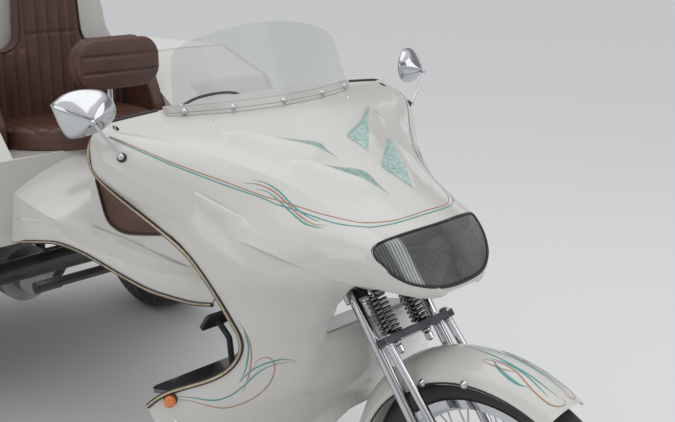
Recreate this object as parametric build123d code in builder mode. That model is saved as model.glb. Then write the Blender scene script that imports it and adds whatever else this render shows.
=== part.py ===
from build123d import *
from math import cos, radians, sin
import os

os.makedirs("parts", exist_ok=True)

# Frame: X forward, Y to the rider's left, Z up, origin on the ground under the middle

# Wheels and their places
front_axle_x = 1385
front_axle_z = 345
rear_axle_x = -900
rear_tyre_radius = 340
rear_axle_z = rear_tyre_radius
rear_wheel_y = 690
front_tyre_radius = front_axle_z
front_tyre_width = 92
front_rim_radius = 281
front_rim_width = 70
front_hub_length = 130
front_hub_radius = 34
front_flange_radius = 52
front_spokes_a_side = 20
spoke_radius = 2.2
rear_tyre_width = 235
rear_rim_radius = 196
rear_rim_width = 215
rear_rim_wall = 9
rear_disc_wall = 12
rear_hub_radius = 62
wheel_windows = 5
lug_circle = 65

# Steering head and sprung fork, in the fork's own frame: u ahead of the axis, w along it
rake_deg = 37.8
head_x = 975
head_z = 792
leg_ahead = 55
leg_spread = 101
leg_radius = 12.5
leg_foot_w = -556
leg_top_w = 252
slim_leg_radius = 9.5
slim_leg_top = (91, -168)
spring_ahead = 64
slim_leg_foot = (125, -582)
rear_pivot = (14, -572)
front_pivot = (127, -590)
pivot_radius = 7
eye_radius = 15
link_wall = 12
link_gap = 2.5
lower_clamp_w = -30
upper_clamp_w = 232
clamp_thick = 22
stem_radius = 14
bearing_gap = 0.4
perch_thick = 16
perch_depth = 30
spring_radius = 25
spring_wire = 8
spring_spread = 50
spring_turns = 8
spring_gap = 0.4
spring_rod_radius = 6
front_axle_radius = 10
running_gap = 0.5

# Front fender
fender_back = 22
fender_lift = 6
fender_radius = 378
fender_edge_radius = 316
fender_shoulder = 14
fender_trim_radius = 331
fender_trim_x = 1392
fender_half_width = 76
fender_wall = 3
fender_front_deg = 61
fender_rear_deg = 190
fender_tab_gap = 0.4
fender_tab_w = -267

# Handlebar
bar_radius = 12.7
bar_stations = ((22, 0, 286), (22, 80, 286), (-50, 195, 350), (-140, 278, 388), (-245, 348, 430))
bar_bend = 45
grip_radius = 16.5
grip_gap = 0.3
riser_spread = 36
dial_spot = (118, 0, 194)
dial_radius = 36
dial_deep = 24

# Frame
backbone_radius = 30
backbone_z = 752
head_tube_radius = 30
head_tube_wall = 8
head_gap = 0.6
rail_radius = 19
rail_spread = 205
rail_z = 600
engine_rail_z = 236
cross_tube_z = 520
rail_end_x = -1440
hoop_x = -1010
carrier_x = -700
carrier_z = 722
axle_arm_x = -620
axle_arm_z = 420
axle_tube_radius = 30
stub_radius = 22

# Fibreglass
glass_wall = 7
shell_gap = 0.4
loft_gap = 0.8
foot_drop = 10

# Fairing hood stations: x, foot y, foot z, widest y, widest z, brow y, brow z, crown z
hood_stations = (
    (612, 456, 1050, 486, 1105, 400, 1176, 1192),
    (708, 442, 1018, 470, 1072, 388, 1146, 1166),
    (800, 394, 986, 386, 1044, 306, 1114, 1138),
    (900, 336, 956, 294, 1012, 236, 1074, 1100),
    (1000, 288, 924, 240, 978, 180, 1030, 1063),
    (1100, 213, 878, 212, 930, 146, 990, 1023),
    (1180, 140, 852, 178, 892, 116, 958, 984),
    (1236, 84, 846, 128, 870, 86, 910, 936),
    (1264, 46, 850, 76, 864, 54, 882, 898),
)

# Fairing side outline, from the hood's rear edge down to the leg shield's foot: x, z
edge_outline = (
    (606, 1210), (628, 1110), (640, 1030), (700, 968), (786, 945), (838, 905),
    (868, 838), (905, 764), (920, 708), (908, 654), (876, 622), (834, 612), (790, 572),
)

# Leg shield stations: z, side x, side y, middle x
shield_stations = (
    (330, 850, 400, 880),
    (450, 800, 468, 944),
    (575, 780, 492, 1010),
    (700, 870, 376, 1030),
    (790, 850, 363, 1085),
    (877, 815, 373, 1163),
    (931, 765, 398, 1106),
    (985, 630, 430, 1042),
    (1040, 590, 455, 998),
)
shield_arch_radius = 150
well_behind = 34
well_half = 152

# Main body: spine under the rider, tub and side pods
spine_stations = (
    (862, 124, 700, 868),
    (660, 185, 706, 808),
    (440, 232, 702, 804),
    (220, 248, 706, 804),
    (20, 262, 706, 812),
    (-120, 330, 700, 930),
)
tub_half = 430
ledge_z = 1180
seat_floor_z = 940
seat_recess_half = 300
seat_back_x = -462
shell_top_z = 1500
tub_wall = 9
pod_outer = 865
pod_inner = tub_half
pod_wall = 7
arch_radius = 405
pod_top_z = 1146
pod_round = 95

# Seats
driver_seat_half = 200
driver_seat_top = 858
seat_foot_z = 772
pad_wide = 270
pad_tall = 143
pad_thick = 52
pad_x = -34
pad_z = 1197
post_radius = 9
backrest_top_z = 1470
peg_x = 44
peg_z = 606
peg_out = 352
board_z = 566
board_thick = 10
tail_lamp_x = -1476
turn_lamp_z = 545
cushion_top = 1000
soft_gap = 0.4
wing_y = 279
wing_wide = 36
pedal_spot = (800, 290, 720)

# Lamp and nose opening, drawn on a face that leans back
lamp_x = 1230
lamp_z = 917
lamp_lean = 17.7
lamp_half = 173
lamp_high = 66
lamp_curve = (
    (0, 66), (75, 65.5), (138, 62), (163, 56.5), (173, 43), (170, 20), (155, -11), (122, -38), (68, -58), (0, -65),
)
lamp_depth = 70
lamp_lip = 5
lens_thick = 9

# Windshield
screen_base_x = 711
screen_base_z = 1172
screen_end_x = 646
screen_half = 270
screen_tall = 190
screen_lean = 62
screen_thick = 5
rim_tall = 16
rim_thick = 17

# Engine, flat with four cylinders behind the axle
engine_x = -1245
engine_z = 372
case_long = 300
case_wide = 300
case_tall = 290
barrel_radius = 66
barrel_pitch = 118
barrel_long = 118
fin_count = 7
fin_wall = 5
head_wide = 62
head_tall = 128
cover_wide = 40
muffler_x = -1545
muffler_z = 240
muffler_half = 165
muffler_radius = 60
header_z = 190
tail_pipe_x = -1652
bumper_z = 330


fork = Plane(
    origin=(head_x, 0, head_z),
    x_dir=(cos(radians(rake_deg)), 0, sin(radians(rake_deg))),
    z_dir=(-sin(radians(rake_deg)), 0, cos(radians(rake_deg))),
)
side = Plane.XZ


def fork_point(u, y, w):
    """Place in the vehicle's frame of a point given beside the steering axis."""
    spot = fork.from_local_coords(Vector(u, y, w))
    return (spot.X, spot.Y, spot.Z)


def rod(points, radius, bend=0, mode=Mode.ADD):
    """Round bar through the points, straight or with its corners bent."""
    with BuildLine() as route:
        if bend:
            FilletPolyline(*points, radius=bend)
        else:
            Polyline(*points)
    with BuildSketch(Plane(origin=route.line @ 0, z_dir=route.line % 0)) as section:
        Circle(radius)
    sweep(sections=section.sketch, path=route.line, mode=mode)


def disc(plane, radius, length, mode=Mode.ADD):
    """Round boss that starts on the plane and runs along its normal."""
    with BuildSketch(plane) as section:
        Circle(radius)
    extrude(to_extrude=section.sketch, amount=length, mode=mode)


def across(x, y, z):
    """Plane that faces the rider's left at a given place."""
    return Plane(origin=(x, y, z), x_dir=(1, 0, 0), z_dir=(0, 1, 0))


def save(piece, name):
    piece.part.label = name
    export_step(piece.part, f"parts/{name}.step")


# Fairing

def hood_profile(station, inset):
    """Upright section of the hood, drawn inset by a wall."""
    x, foot_y, foot_z, wide_y, wide_z, brow_y, brow_z, crown_z = station
    low = foot_z - (foot_drop if inset > 0 else -inset)
    with BuildSketch(Plane.YZ.offset(x)) as section:
        with BuildLine():
            Line((-foot_y + inset, low), (foot_y - inset, low))
            ThreePointArc((foot_y - inset, low), (wide_y - inset, wide_z), (brow_y - inset, brow_z - inset))
            ThreePointArc((brow_y - inset, brow_z - inset), (0, crown_z - inset),
                          (inset - brow_y, brow_z - inset))
            ThreePointArc((inset - brow_y, brow_z - inset), (inset - wide_y, wide_z), (inset - foot_y, low))
        make_face()
    return section.sketch


def lamp_plane(depth):
    """Plane of the headlamp's face, moved out along its normal."""
    lean = radians(lamp_lean)
    return Plane(
        origin=(lamp_x + depth * cos(lean), 0, lamp_z + depth * sin(lean)),
        x_dir=(0, 1, 0),
        z_dir=(cos(lean), 0, sin(lean)),
    )


def lamp_outline(plane, inset):
    """Blunt half moon of the headlamp opening."""
    across_scale = 1 - inset / lamp_half
    up_scale = 1 - inset / lamp_high
    half = [(y * across_scale, v * up_scale) for y, v in lamp_curve]
    other = [(-y, v) for y, v in half[-2:0:-1]]
    with BuildSketch(plane) as section:
        with BuildLine():
            Spline(*half, *other, periodic=True)
        make_face()
    return section.sketch


def behind_edge(overhang):
    """Everything behind the fairing's rear edge, as a side outline cut right across."""
    with BuildSketch(side) as section:
        with BuildLine():
            Polyline((-200, 1300), (edge_outline[0][0], 1300), edge_outline[0])
            Spline(*edge_outline)
            Polyline(edge_outline[-1], (edge_outline[-1][0] + 70, 300), (-200, 300), (-200, 1300))
        make_face()
    extrude(to_extrude=section.sketch, amount=overhang, both=True, mode=Mode.SUBTRACT)


with BuildPart() as fairing_hood:
    loft(sections=[hood_profile(station, 0) for station in hood_stations])
    loft(
        sections=[hood_profile(station, glass_wall) for station in hood_stations[:-1]],
        mode=Mode.SUBTRACT,
    )
    opening = lamp_outline(lamp_plane(-lamp_depth), 0)
    extrude(to_extrude=opening, amount=lamp_depth * 2, mode=Mode.SUBTRACT)
    behind_edge(600)
save(fairing_hood, "fairing_hood")


def shield_profile(station, inset):
    """Level section of the leg shield, an arc across with its back left open."""
    z, side_x, side_y, middle_x = station
    back_x = side_x - 120 - inset
    with BuildSketch(Plane.XY.offset(z)) as section:
        with BuildLine():
            ThreePointArc((side_x, inset - side_y), (middle_x - inset, 0), (side_x, side_y - inset))
            Line((side_x, side_y - inset), (back_x, side_y - inset))
            Line((back_x, side_y - inset), (back_x, inset - side_y))
            Line((back_x, inset - side_y), (side_x, inset - side_y))
        make_face()
    return section.sketch


with BuildPart() as leg_shield:
    loft(sections=[shield_profile(station, 0) for station in shield_stations], ruled=True)
    loft(
        sections=[shield_profile(station, glass_wall) for station in shield_stations],
        ruled=True,
        mode=Mode.SUBTRACT,
    )
    loft(sections=[hood_profile(station, -loft_gap) for station in hood_stations], mode=Mode.SUBTRACT)
    with BuildSketch(Plane.YZ.offset(600)) as arch:
        with BuildLine():
            Line((-shield_arch_radius, 300), (-shield_arch_radius, 330))
            ThreePointArc((-shield_arch_radius, 330), (0, 480), (shield_arch_radius, 330))
            Polyline((shield_arch_radius, 330), (shield_arch_radius, 300), (-shield_arch_radius, 300))
        make_face()
    extrude(amount=600, mode=Mode.SUBTRACT)
    behind_edge(700)
    with BuildSketch(fork.offset(-100)) as fork_well:
        with Locations((300 - well_behind, 0)):
            Rectangle(600, 2 * well_half)
    extrude(amount=500, mode=Mode.SUBTRACT)
save(leg_shield, "leg_shield")


# Nose fittings

with BuildPart() as headlamp_bowl:
    bowl_face = lamp_outline(lamp_plane(-lamp_depth), 1 + shell_gap)
    extrude(to_extrude=bowl_face, amount=lamp_depth - 16)
    bowl_inside = lamp_outline(lamp_plane(-lamp_depth + 4), lamp_lip + 1)
    extrude(to_extrude=bowl_inside, amount=lamp_depth, mode=Mode.SUBTRACT)
save(headlamp_bowl, "headlamp_bowl")

with BuildPart() as headlamp_lens:
    lens_face = lamp_outline(lamp_plane(-lamp_depth + 28), lamp_lip + 1.5)
    extrude(to_extrude=lens_face, amount=lens_thick)
save(headlamp_lens, "headlamp_lens")


# Windshield and its rim

def screen_arc(z, thick, lean_x):
    """Level crescent of the windshield at one height."""
    end_x = screen_end_x - lean_x
    mid_x = screen_base_x - lean_x
    with BuildSketch(Plane.XY.offset(z)) as section:
        with BuildLine():
            ThreePointArc((end_x, -screen_half - 20), (mid_x, 0), (end_x, screen_half + 20))
            Line((end_x, screen_half + 20), (end_x - thick, screen_half + 20))
            ThreePointArc((end_x - thick, screen_half + 20), (mid_x - thick, 0),
                          (end_x - thick, -screen_half - 20))
            Line((end_x - thick, -screen_half - 20), (end_x, -screen_half - 20))
        make_face()
    return section.sketch


with BuildPart() as windshield:
    loft(sections=[
        screen_arc(screen_base_z, screen_thick, 0),
        screen_arc(screen_base_z + screen_tall, screen_thick, screen_lean),
    ])
    with BuildSketch(Plane.YZ.offset(500)) as screen_outline:
        with BuildLine():
            Polyline(
                (-screen_half - 6, screen_base_z + 12), (-screen_half + 14, screen_base_z + 118),
            )
            Line((-screen_half + 14, screen_base_z + 118), (-screen_half + 26, screen_base_z + 142))
            ThreePointArc((-screen_half + 26, screen_base_z + 142), (0, screen_base_z + screen_tall - 3),
                          (screen_half - 26, screen_base_z + 142))
            Line((screen_half - 26, screen_base_z + 142), (screen_half - 14, screen_base_z + 118))
            Line((screen_half - 14, screen_base_z + 118), (screen_half + 6, screen_base_z + 12))
            Line((screen_half + 6, screen_base_z + 12), (-screen_half - 6, screen_base_z + 12))
        make_face()
        fillet(screen_outline.vertices().group_by(Axis.Y)[-1], radius=60)
    extrude(amount=400, mode=Mode.INTERSECT)
save(windshield, "windshield")


# Windshield rim, mirrors and lamps

with BuildPart() as screen_rim:
    loft(sections=[
        screen_arc(screen_base_z - 18, rim_thick, -4),
        screen_arc(screen_base_z + rim_tall, rim_thick, 4),
    ])
    loft(sections=[
        screen_arc(screen_base_z + 2, screen_thick + 1.2, 0.6),
        screen_arc(screen_base_z + screen_tall, screen_thick + 1.2, screen_lean),
    ], mode=Mode.SUBTRACT)
    loft(sections=[hood_profile(station, -loft_gap) for station in hood_stations], mode=Mode.SUBTRACT)
save(screen_rim, "screen_rim")

mirror_base = (708, 456, 1112)
mirror_joint = (690, 522, 1204)
mirror_long = 150
mirror_tall = 98
mirror_deep = 82

with BuildPart() as mirrors:
    for sign in (-1, 1):
        base = Vector(mirror_base[0], sign * mirror_base[1], mirror_base[2])
        joint = Vector(mirror_joint[0], sign * mirror_joint[1], mirror_joint[2])
        glass = Plane(origin=(joint.X - mirror_deep + 18, joint.Y + sign * 22, joint.Z + 6),
                      x_dir=(0, 1, 0), z_dir=(1, 0, 0))
        with BuildSketch(glass) as back:
            RectangleRounded(mirror_long, mirror_tall, 40)
        with BuildSketch(glass.offset(mirror_deep * 0.45)) as belly:
            RectangleRounded(mirror_long * 0.9, mirror_tall * 0.88, 40)
        with BuildSketch(glass.offset(mirror_deep)) as tip:
            with Locations((-sign * 18, -8)):
                RectangleRounded(34, 30, 14)
        loft(sections=[back.sketch, belly.sketch, tip.sketch])
        with BuildSketch(glass) as pocket:
            RectangleRounded(mirror_long - 8, mirror_tall - 8, 36)
        extrude(to_extrude=pocket.sketch, amount=3, mode=Mode.SUBTRACT)
        rod([base, joint], 5)
        rod([base, base + (joint - base) * 0.14], 11)
    loft(sections=[hood_profile(station, -loft_gap) for station in hood_stations], mode=Mode.SUBTRACT)
save(mirrors, "mirrors")


# Steering: stem, clamps, main legs

with BuildPart() as fork_main:
    disc(fork.offset(lower_clamp_w - clamp_thick), stem_radius, upper_clamp_w - lower_clamp_w + clamp_thick)
    for low, reach in ((lower_clamp_w - clamp_thick, 42), (upper_clamp_w - clamp_thick, 34)):
        with BuildSketch(fork.offset(low)) as clamp:
            with Locations((leg_ahead, 0)):
                SlotCenterToCenter(2 * leg_spread, reach, rotation=90)
            with Locations((leg_ahead / 2, 0)):
                Rectangle(leg_ahead + 10, 2 * stem_radius + 24)
            Circle(stem_radius + 14)
        extrude(to_extrude=clamp.sketch, amount=clamp_thick)
    with BuildSketch(fork.offset(lower_clamp_w - clamp_thick)) as spring_seats:
        with Locations((spring_ahead, -spring_spread), (spring_ahead, spring_spread)):
            Circle(spring_radius + 2)
    extrude(to_extrude=spring_seats.sketch, amount=clamp_thick)
    for y in (-leg_spread, leg_spread):
        rod([fork_point(leg_ahead, y, leg_foot_w), fork_point(leg_ahead, y, leg_top_w)], leg_radius)
        pivot = fork_point(rear_pivot[0], y, rear_pivot[1])
        rod([fork_point(leg_ahead, y, leg_foot_w + 12), fork_point(rear_pivot[0], y, rear_pivot[1] + 4)], 9)
        disc(across(pivot[0], y - leg_radius, pivot[2]), eye_radius, 2 * leg_radius)
        disc(across(pivot[0], y - 30, pivot[2]), pivot_radius + 0.3, 60, Mode.SUBTRACT)
    for y in (-spring_spread, spring_spread):
        disc(Plane(fork_point(spring_ahead, y, lower_clamp_w - 60), z_dir=fork.z_dir),
             spring_rod_radius + 0.5, 100, Mode.SUBTRACT)
save(fork_main, "fork_main")

with BuildPart() as fork_slim_legs:
    with BuildSketch(fork.offset(slim_leg_top[1])) as perch:
        with Locations((slim_leg_top[0] - 2, 0)):
            Rectangle(perch_depth, 2 * leg_spread + 28)
        with Locations((spring_ahead, 0)):
            Rectangle(2 * spring_radius, 2 * spring_spread + 2 * spring_radius + 4)
    extrude(amount=perch_thick)
    for y in (-leg_spread, leg_spread):
        rod([fork_point(slim_leg_foot[0], y, slim_leg_foot[1]),
             fork_point(slim_leg_top[0], y, slim_leg_top[1] + perch_thick / 2)], slim_leg_radius)
        pivot = fork_point(front_pivot[0], y, front_pivot[1])
        disc(across(pivot[0], y - slim_leg_radius, pivot[2]), eye_radius, 2 * slim_leg_radius)
        disc(across(pivot[0], y - 30, pivot[2]), pivot_radius + 0.3, 60, Mode.SUBTRACT)
    for y in (-spring_spread, spring_spread):
        low = slim_leg_top[1] - 26
        rod([fork_point(spring_ahead, y, low), fork_point(spring_ahead, y, lower_clamp_w + 24)],
            spring_rod_radius)
        rod([fork_point(spring_ahead, y, low), fork_point(spring_ahead, y, low + 14)], 10)
save(fork_slim_legs, "fork_slim_legs")

spring_low = slim_leg_top[1] + perch_thick + spring_gap
spring_high = lower_clamp_w - clamp_thick - spring_gap
spring_pitch = (spring_high - spring_low) / spring_turns
with BuildPart() as fork_springs:
    for y in (-spring_spread, spring_spread):
        foot = Plane(fork_point(spring_ahead, y, spring_low), x_dir=(0, 1, 0), z_dir=fork.z_dir)
        inner = spring_radius - spring_wire
        with BuildSketch(Plane(foot.origin, x_dir=(0, 1, 0), z_dir=fork.x_dir)) as coil:
            with BuildLine():
                Line((inner, 0), (spring_radius - spring_wire / 2, 0))
                for turn in range(spring_turns):
                    w = turn * spring_pitch
                    ThreePointArc((spring_radius - spring_wire / 2, w),
                                  (spring_radius, w + spring_pitch / 2),
                                  (spring_radius - spring_wire / 2, w + spring_pitch))
                top = spring_turns * spring_pitch
                Polyline((spring_radius - spring_wire / 2, top), (inner, top), (inner, 0))
            make_face()
        revolve(axis=Axis(foot.origin, fork.z_dir))
save(fork_springs, "fork_springs")


# Links, axle and front wheel

link_inner_y = leg_spread - leg_radius - link_gap - link_wall
with BuildPart() as fork_links:
    for sign in (-1, 1):
        y = sign * (link_inner_y + link_wall / 2)
        rear = fork_point(rear_pivot[0], y, rear_pivot[1])
        front = fork_point(front_pivot[0], y, front_pivot[1])
        with BuildSketch(across(0, y - link_wall / 2, 0)) as plate:
            with BuildLine():
                Polyline((rear[0], -rear[2]), (front[0], -front[2]), (front_axle_x, -front_axle_z),
                         close=True)
            make_face()
            with Locations((rear[0], -rear[2]), (front[0], -front[2])):
                Circle(eye_radius)
            with Locations((front_axle_x, -front_axle_z)):
                Circle(front_axle_radius + 12)
        extrude(to_extrude=plate.sketch, amount=link_wall)
        for pin, reach in ((rear, leg_radius), (front, slim_leg_radius)):
            rod([(pin[0], y, pin[2]), (pin[0], sign * (leg_spread + reach + 8), pin[2])], pivot_radius)
            rod([(pin[0], sign * (leg_spread + reach + 1.5), pin[2]),
                 (pin[0], sign * (leg_spread + reach + 9), pin[2])], pivot_radius + 4)
        disc(across(front_axle_x, y - 20, front_axle_z), front_axle_radius + 0.3, 40, Mode.SUBTRACT)
save(fork_links, "fork_links")

axle_half = link_inner_y + link_wall + 14
with BuildPart() as front_axle:
    rod([(front_axle_x, -axle_half, front_axle_z), (front_axle_x, axle_half, front_axle_z)],
        front_axle_radius)
    for sign in (-1, 1):
        rod([(front_axle_x, sign * (link_inner_y + link_wall + 1), front_axle_z),
             (front_axle_x, sign * axle_half, front_axle_z)], front_axle_radius + 6)
        rod([(front_axle_x, sign * (front_hub_length / 2 + running_gap), front_axle_z),
             (front_axle_x, sign * (link_inner_y - 0.4), front_axle_z)], front_axle_radius + 4)
save(front_axle, "front_axle")

hub_centre = (front_axle_x, 0, front_axle_z)


def wheel_section(x, z):
    """Plane through a wheel's axis for a profile drawn as height above the axis against width."""
    return Plane(origin=(x, 0, z), x_dir=(0, 1, 0), z_dir=(1, 0, 0))


def rim_profile(centre_y, outer, width, wall, well):
    """Rim section with a dropped well between two flanges."""
    half = width / 2
    Polyline(
        (centre_y - half, outer), (centre_y - half + wall, outer), (centre_y - half + wall, outer - 14),
        (centre_y - half * 0.4, outer - 14), (centre_y - half * 0.25, outer - well),
        (centre_y + half * 0.25, outer - well), (centre_y + half * 0.4, outer - 14),
        (centre_y + half - wall, outer - 14), (centre_y + half - wall, outer), (centre_y + half, outer),
        (centre_y + half, outer - 14 - wall), (centre_y + half * 0.4, outer - 14 - wall),
        (centre_y + half * 0.25, outer - well - wall), (centre_y - half * 0.25, outer - well - wall),
        (centre_y - half * 0.4, outer - 14 - wall), (centre_y - half, outer - 14 - wall), close=True,
    )


with BuildPart() as front_rim:
    section = wheel_section(front_axle_x, front_axle_z)
    with BuildSketch(section) as rim:
        with BuildLine():
            rim_profile(0, front_rim_radius, front_rim_width, 4, 26)
        make_face()
    revolve(axis=Axis(hub_centre, (0, 1, 0)))
    with BuildSketch(section) as hub:
        with BuildLine():
            half = front_hub_length / 2
            bore = front_axle_radius + running_gap
            Polyline((-half, bore), (-half, front_hub_radius - 8), (-half + 12, front_flange_radius),
                     (-half + 20, front_flange_radius), (-half + 26, front_hub_radius),
                     (half - 26, front_hub_radius), (half - 20, front_flange_radius),
                     (half - 12, front_flange_radius), (half, front_hub_radius - 8), (half, bore),
                     close=True)
        make_face()
    revolve(axis=Axis(hub_centre, (0, 1, 0)))
    for sign in (-1, 1):
        for spoke in range(front_spokes_a_side):
            around = radians(360 / front_spokes_a_side * (spoke + (0.5 if sign > 0 else 0)))
            lean = radians(34 if spoke % 2 else -34)
            hub_r = front_flange_radius - 6
            rim_r = front_rim_radius - 26 - 3
            foot = (front_axle_x + hub_r * cos(around), sign * (front_hub_length / 2 - 16),
                    front_axle_z + hub_r * sin(around))
            tip = (front_axle_x + rim_r * cos(around + lean), sign * 6,
                   front_axle_z + rim_r * sin(around + lean))
            rod([foot, tip], spoke_radius)
save(front_rim, "front_rim")


def tyre_profile(centre_y, tread, bead, tread_half, wall_half, bead_half, wall):
    """Open tyre section with rounded shoulders and a bead each side."""
    mid = bead + (tread - bead) * 0.5
    lip = bead + 15
    brow = tread - (tread - bead) * 0.12
    for_in = wall * 0.9
    Line((centre_y - bead_half, bead), (centre_y - bead_half, lip))
    ThreePointArc((centre_y - bead_half, lip), (centre_y - wall_half, mid), (centre_y - tread_half, brow))
    ThreePointArc((centre_y - tread_half, brow), (centre_y, tread), (centre_y + tread_half, brow))
    ThreePointArc((centre_y + tread_half, brow), (centre_y + wall_half, mid), (centre_y + bead_half, lip))
    Line((centre_y + bead_half, lip), (centre_y + bead_half, bead))
    Polyline((centre_y + bead_half, bead), (centre_y + bead_half - for_in, bead),
             (centre_y + bead_half - for_in, lip))
    ThreePointArc((centre_y + bead_half - for_in, lip), (centre_y + wall_half - wall, mid),
                  (centre_y + tread_half - for_in, brow - wall))
    ThreePointArc((centre_y + tread_half - for_in, brow - wall), (centre_y, tread - wall),
                  (centre_y - tread_half + for_in, brow - wall))
    ThreePointArc((centre_y - tread_half + for_in, brow - wall), (centre_y - wall_half + wall, mid),
                  (centre_y - bead_half + for_in, lip))
    Polyline((centre_y - bead_half + for_in, lip), (centre_y - bead_half + for_in, bead),
             (centre_y - bead_half, bead))


with BuildPart() as front_tyre:
    with BuildSketch(wheel_section(front_axle_x, front_axle_z)) as section:
        with BuildLine():
            half = front_tyre_width / 2
            tyre_profile(0, front_tyre_radius, front_rim_radius - 13.5, half * 0.62, half,
                         front_rim_width / 2 - 4.5, 9)
        make_face()
    revolve(axis=Axis(hub_centre, (0, 1, 0)))
save(front_tyre, "front_tyre")

with BuildPart() as front_fender:
    start = radians(fender_front_deg)
    fender_centre = (front_axle_x - fender_back, 0, front_axle_z + fender_lift)
    shoulder = fender_edge_radius + fender_shoulder
    with BuildSketch(Plane(fender_centre, x_dir=(0, 1, 0), z_dir=(sin(start), 0, -cos(start)))) as section:
        with BuildLine():
            half = fender_half_width
            thin = fender_half_width - fender_wall
            Line((-half, fender_edge_radius), (-half, shoulder))
            ThreePointArc((-half, shoulder), (0, fender_radius), (half, shoulder))
            Polyline((half, shoulder), (half, fender_edge_radius), (thin, fender_edge_radius), (thin, shoulder))
            ThreePointArc((thin, shoulder), (0, fender_radius - fender_wall), (-thin, shoulder))
            Polyline((-thin, shoulder), (-thin, fender_edge_radius), (-half, fender_edge_radius))
        make_face()
    revolve(axis=Axis(fender_centre, (0, -1, 0)), revolution_arc=fender_rear_deg - fender_front_deg)
    wheel_room = Plane((fender_trim_x, 100, front_axle_z), x_dir=(1, 0, 0), z_dir=(0, -1, 0))
    disc(wheel_room, fender_trim_radius, 200, mode=Mode.SUBTRACT)
    tab_long = leg_spread - leg_radius - fender_tab_gap - fender_half_width + 2
    for sign in (-1, 1):
        tab = fork_point(leg_ahead, sign * (fender_half_width - 2), fender_tab_w)
        disc(across(*tab), 11, tab_long * sign)
save(front_fender, "front_fender")


# Handlebar, grips, levers and instrument

def bar_points(sign):
    return [fork_point(u, sign * y, w) for u, y, w in bar_stations]


with BuildPart() as handlebar:
    whole = bar_points(-1)[::-1] + bar_points(1)[1:]
    del whole[len(whole) // 2]
    rod(whole, bar_radius, bar_bend)
    for y in (-riser_spread, riser_spread):
        rod([fork_point(bar_stations[0][0], y, upper_clamp_w),
             fork_point(bar_stations[0][0], y, bar_stations[0][2])], 13)
        rod([fork_point(bar_stations[0][0], y - 16, bar_stations[0][2]),
             fork_point(bar_stations[0][0], y + 16, bar_stations[0][2])], 20)
save(handlebar, "handlebar")

with BuildPart() as bar_grips:
    for sign in (-1, 1):
        inner, outer = [Vector(*spot) for spot in bar_points(sign)[-2:]]
        along = (outer - inner).normalized()
        start = outer - along * 108
        rod([start, outer + along * 6], grip_radius)
        rod([start, outer + along * 0.3], bar_radius + grip_gap, mode=Mode.SUBTRACT)
save(bar_grips, "bar_grips")

with BuildPart() as bar_levers:
    for sign in (-1, 1):
        inner, outer = [Vector(*spot) for spot in bar_points(sign)[-2:]]
        along = (outer - inner).normalized()
        lean = fork.x_dir - fork.z_dir * 0.7
        ahead = (lean - along * lean.dot(along)).normalized()
        perch_spot = outer - along * 117.5
        rod([perch_spot - along * 8.5, perch_spot + along * 8.5], bar_radius + 7)
        rod([perch_spot - along * 20, perch_spot + along * 20], bar_radius + grip_gap, mode=Mode.SUBTRACT)
        rod([perch_spot + ahead * 16, perch_spot + ahead * 31, perch_spot + ahead * 37 + along * 88], 5, 9)
save(bar_levers, "bar_levers")

with BuildPart() as instrument:
    dial = Plane(fork_point(*dial_spot), x_dir=(0, 1, 0), z_dir=(-0.72, 0, 0.69))
    rod([fork_point(leg_ahead + 17 + shell_gap, 0, upper_clamp_w - 14),
         fork_point(dial_spot[0] - dial_radius + 10, 0, upper_clamp_w - 14)], 5)
    disc(dial, dial_radius, dial_deep)
    disc(dial.offset(dial_deep - 4), dial_radius - 4, 10, Mode.SUBTRACT)
save(instrument, "instrument")


# Frame

head_low = lower_clamp_w + head_gap
head_high = upper_clamp_w - clamp_thick - head_gap
with BuildPart() as frame:
    rod([fork_point(0, 0, head_low), fork_point(0, 0, head_high)], head_tube_radius)
    rod([fork_point(-8, 0, 62), (800, 0, 782), (690, 0, backbone_z), (-60, 0, backbone_z)],
        backbone_radius, 60)
    rod([(800, 0, 776), (830, 0, 600), (790, 0, 470)], rail_radius, 60)
    rod([(800, -330, cross_tube_z), (800, 330, cross_tube_z)], rail_radius - 3)
    for sign in (-1, 1):
        rod([(20, 0, backbone_z - 4), (-120, sign * 60, backbone_z - 8), (-420, sign * rail_spread, rail_z),
             (-560, sign * rail_spread, 505), (-765, sign * rail_spread, 391),
             (-915, sign * rail_spread, engine_rail_z), (rail_end_x, sign * rail_spread, engine_rail_z)],
            rail_radius, 50)
        rod([(-400, sign * rail_spread, rail_z + 2), (hoop_x, sign * rail_spread, rail_z + 4),
             (hoop_x - 20, sign * rail_spread, engine_rail_z)], rail_radius, 60)
    rod([(hoop_x + 40, -rail_spread, rail_z + 3), (hoop_x + 40, rail_spread, rail_z + 3)], rail_radius - 3)
    carrier_end = tub_half - tub_wall - shell_gap
    rod([(carrier_x, -carrier_end, carrier_z), (carrier_x, carrier_end, carrier_z)], rail_radius - 3)
    for y in (-rail_spread, rail_spread):
        rod([(carrier_x, y, rail_z + 6), (carrier_x, y, carrier_z)], rail_radius - 5)
    rod([(rail_end_x + 16, -rail_spread, engine_rail_z), (rail_end_x + 16, rail_spread, engine_rail_z)],
        rail_radius - 3)
    rod([fork_point(0, 0, head_low - 2), fork_point(0, 0, head_high + 2)], stem_radius + bearing_gap,
        mode=Mode.SUBTRACT)
    rod([(axle_arm_x, -430, axle_arm_z), (axle_arm_x, 430, axle_arm_z)], axle_tube_radius + 10 + shell_gap,
        mode=Mode.SUBTRACT)
save(frame, "frame")

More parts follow.
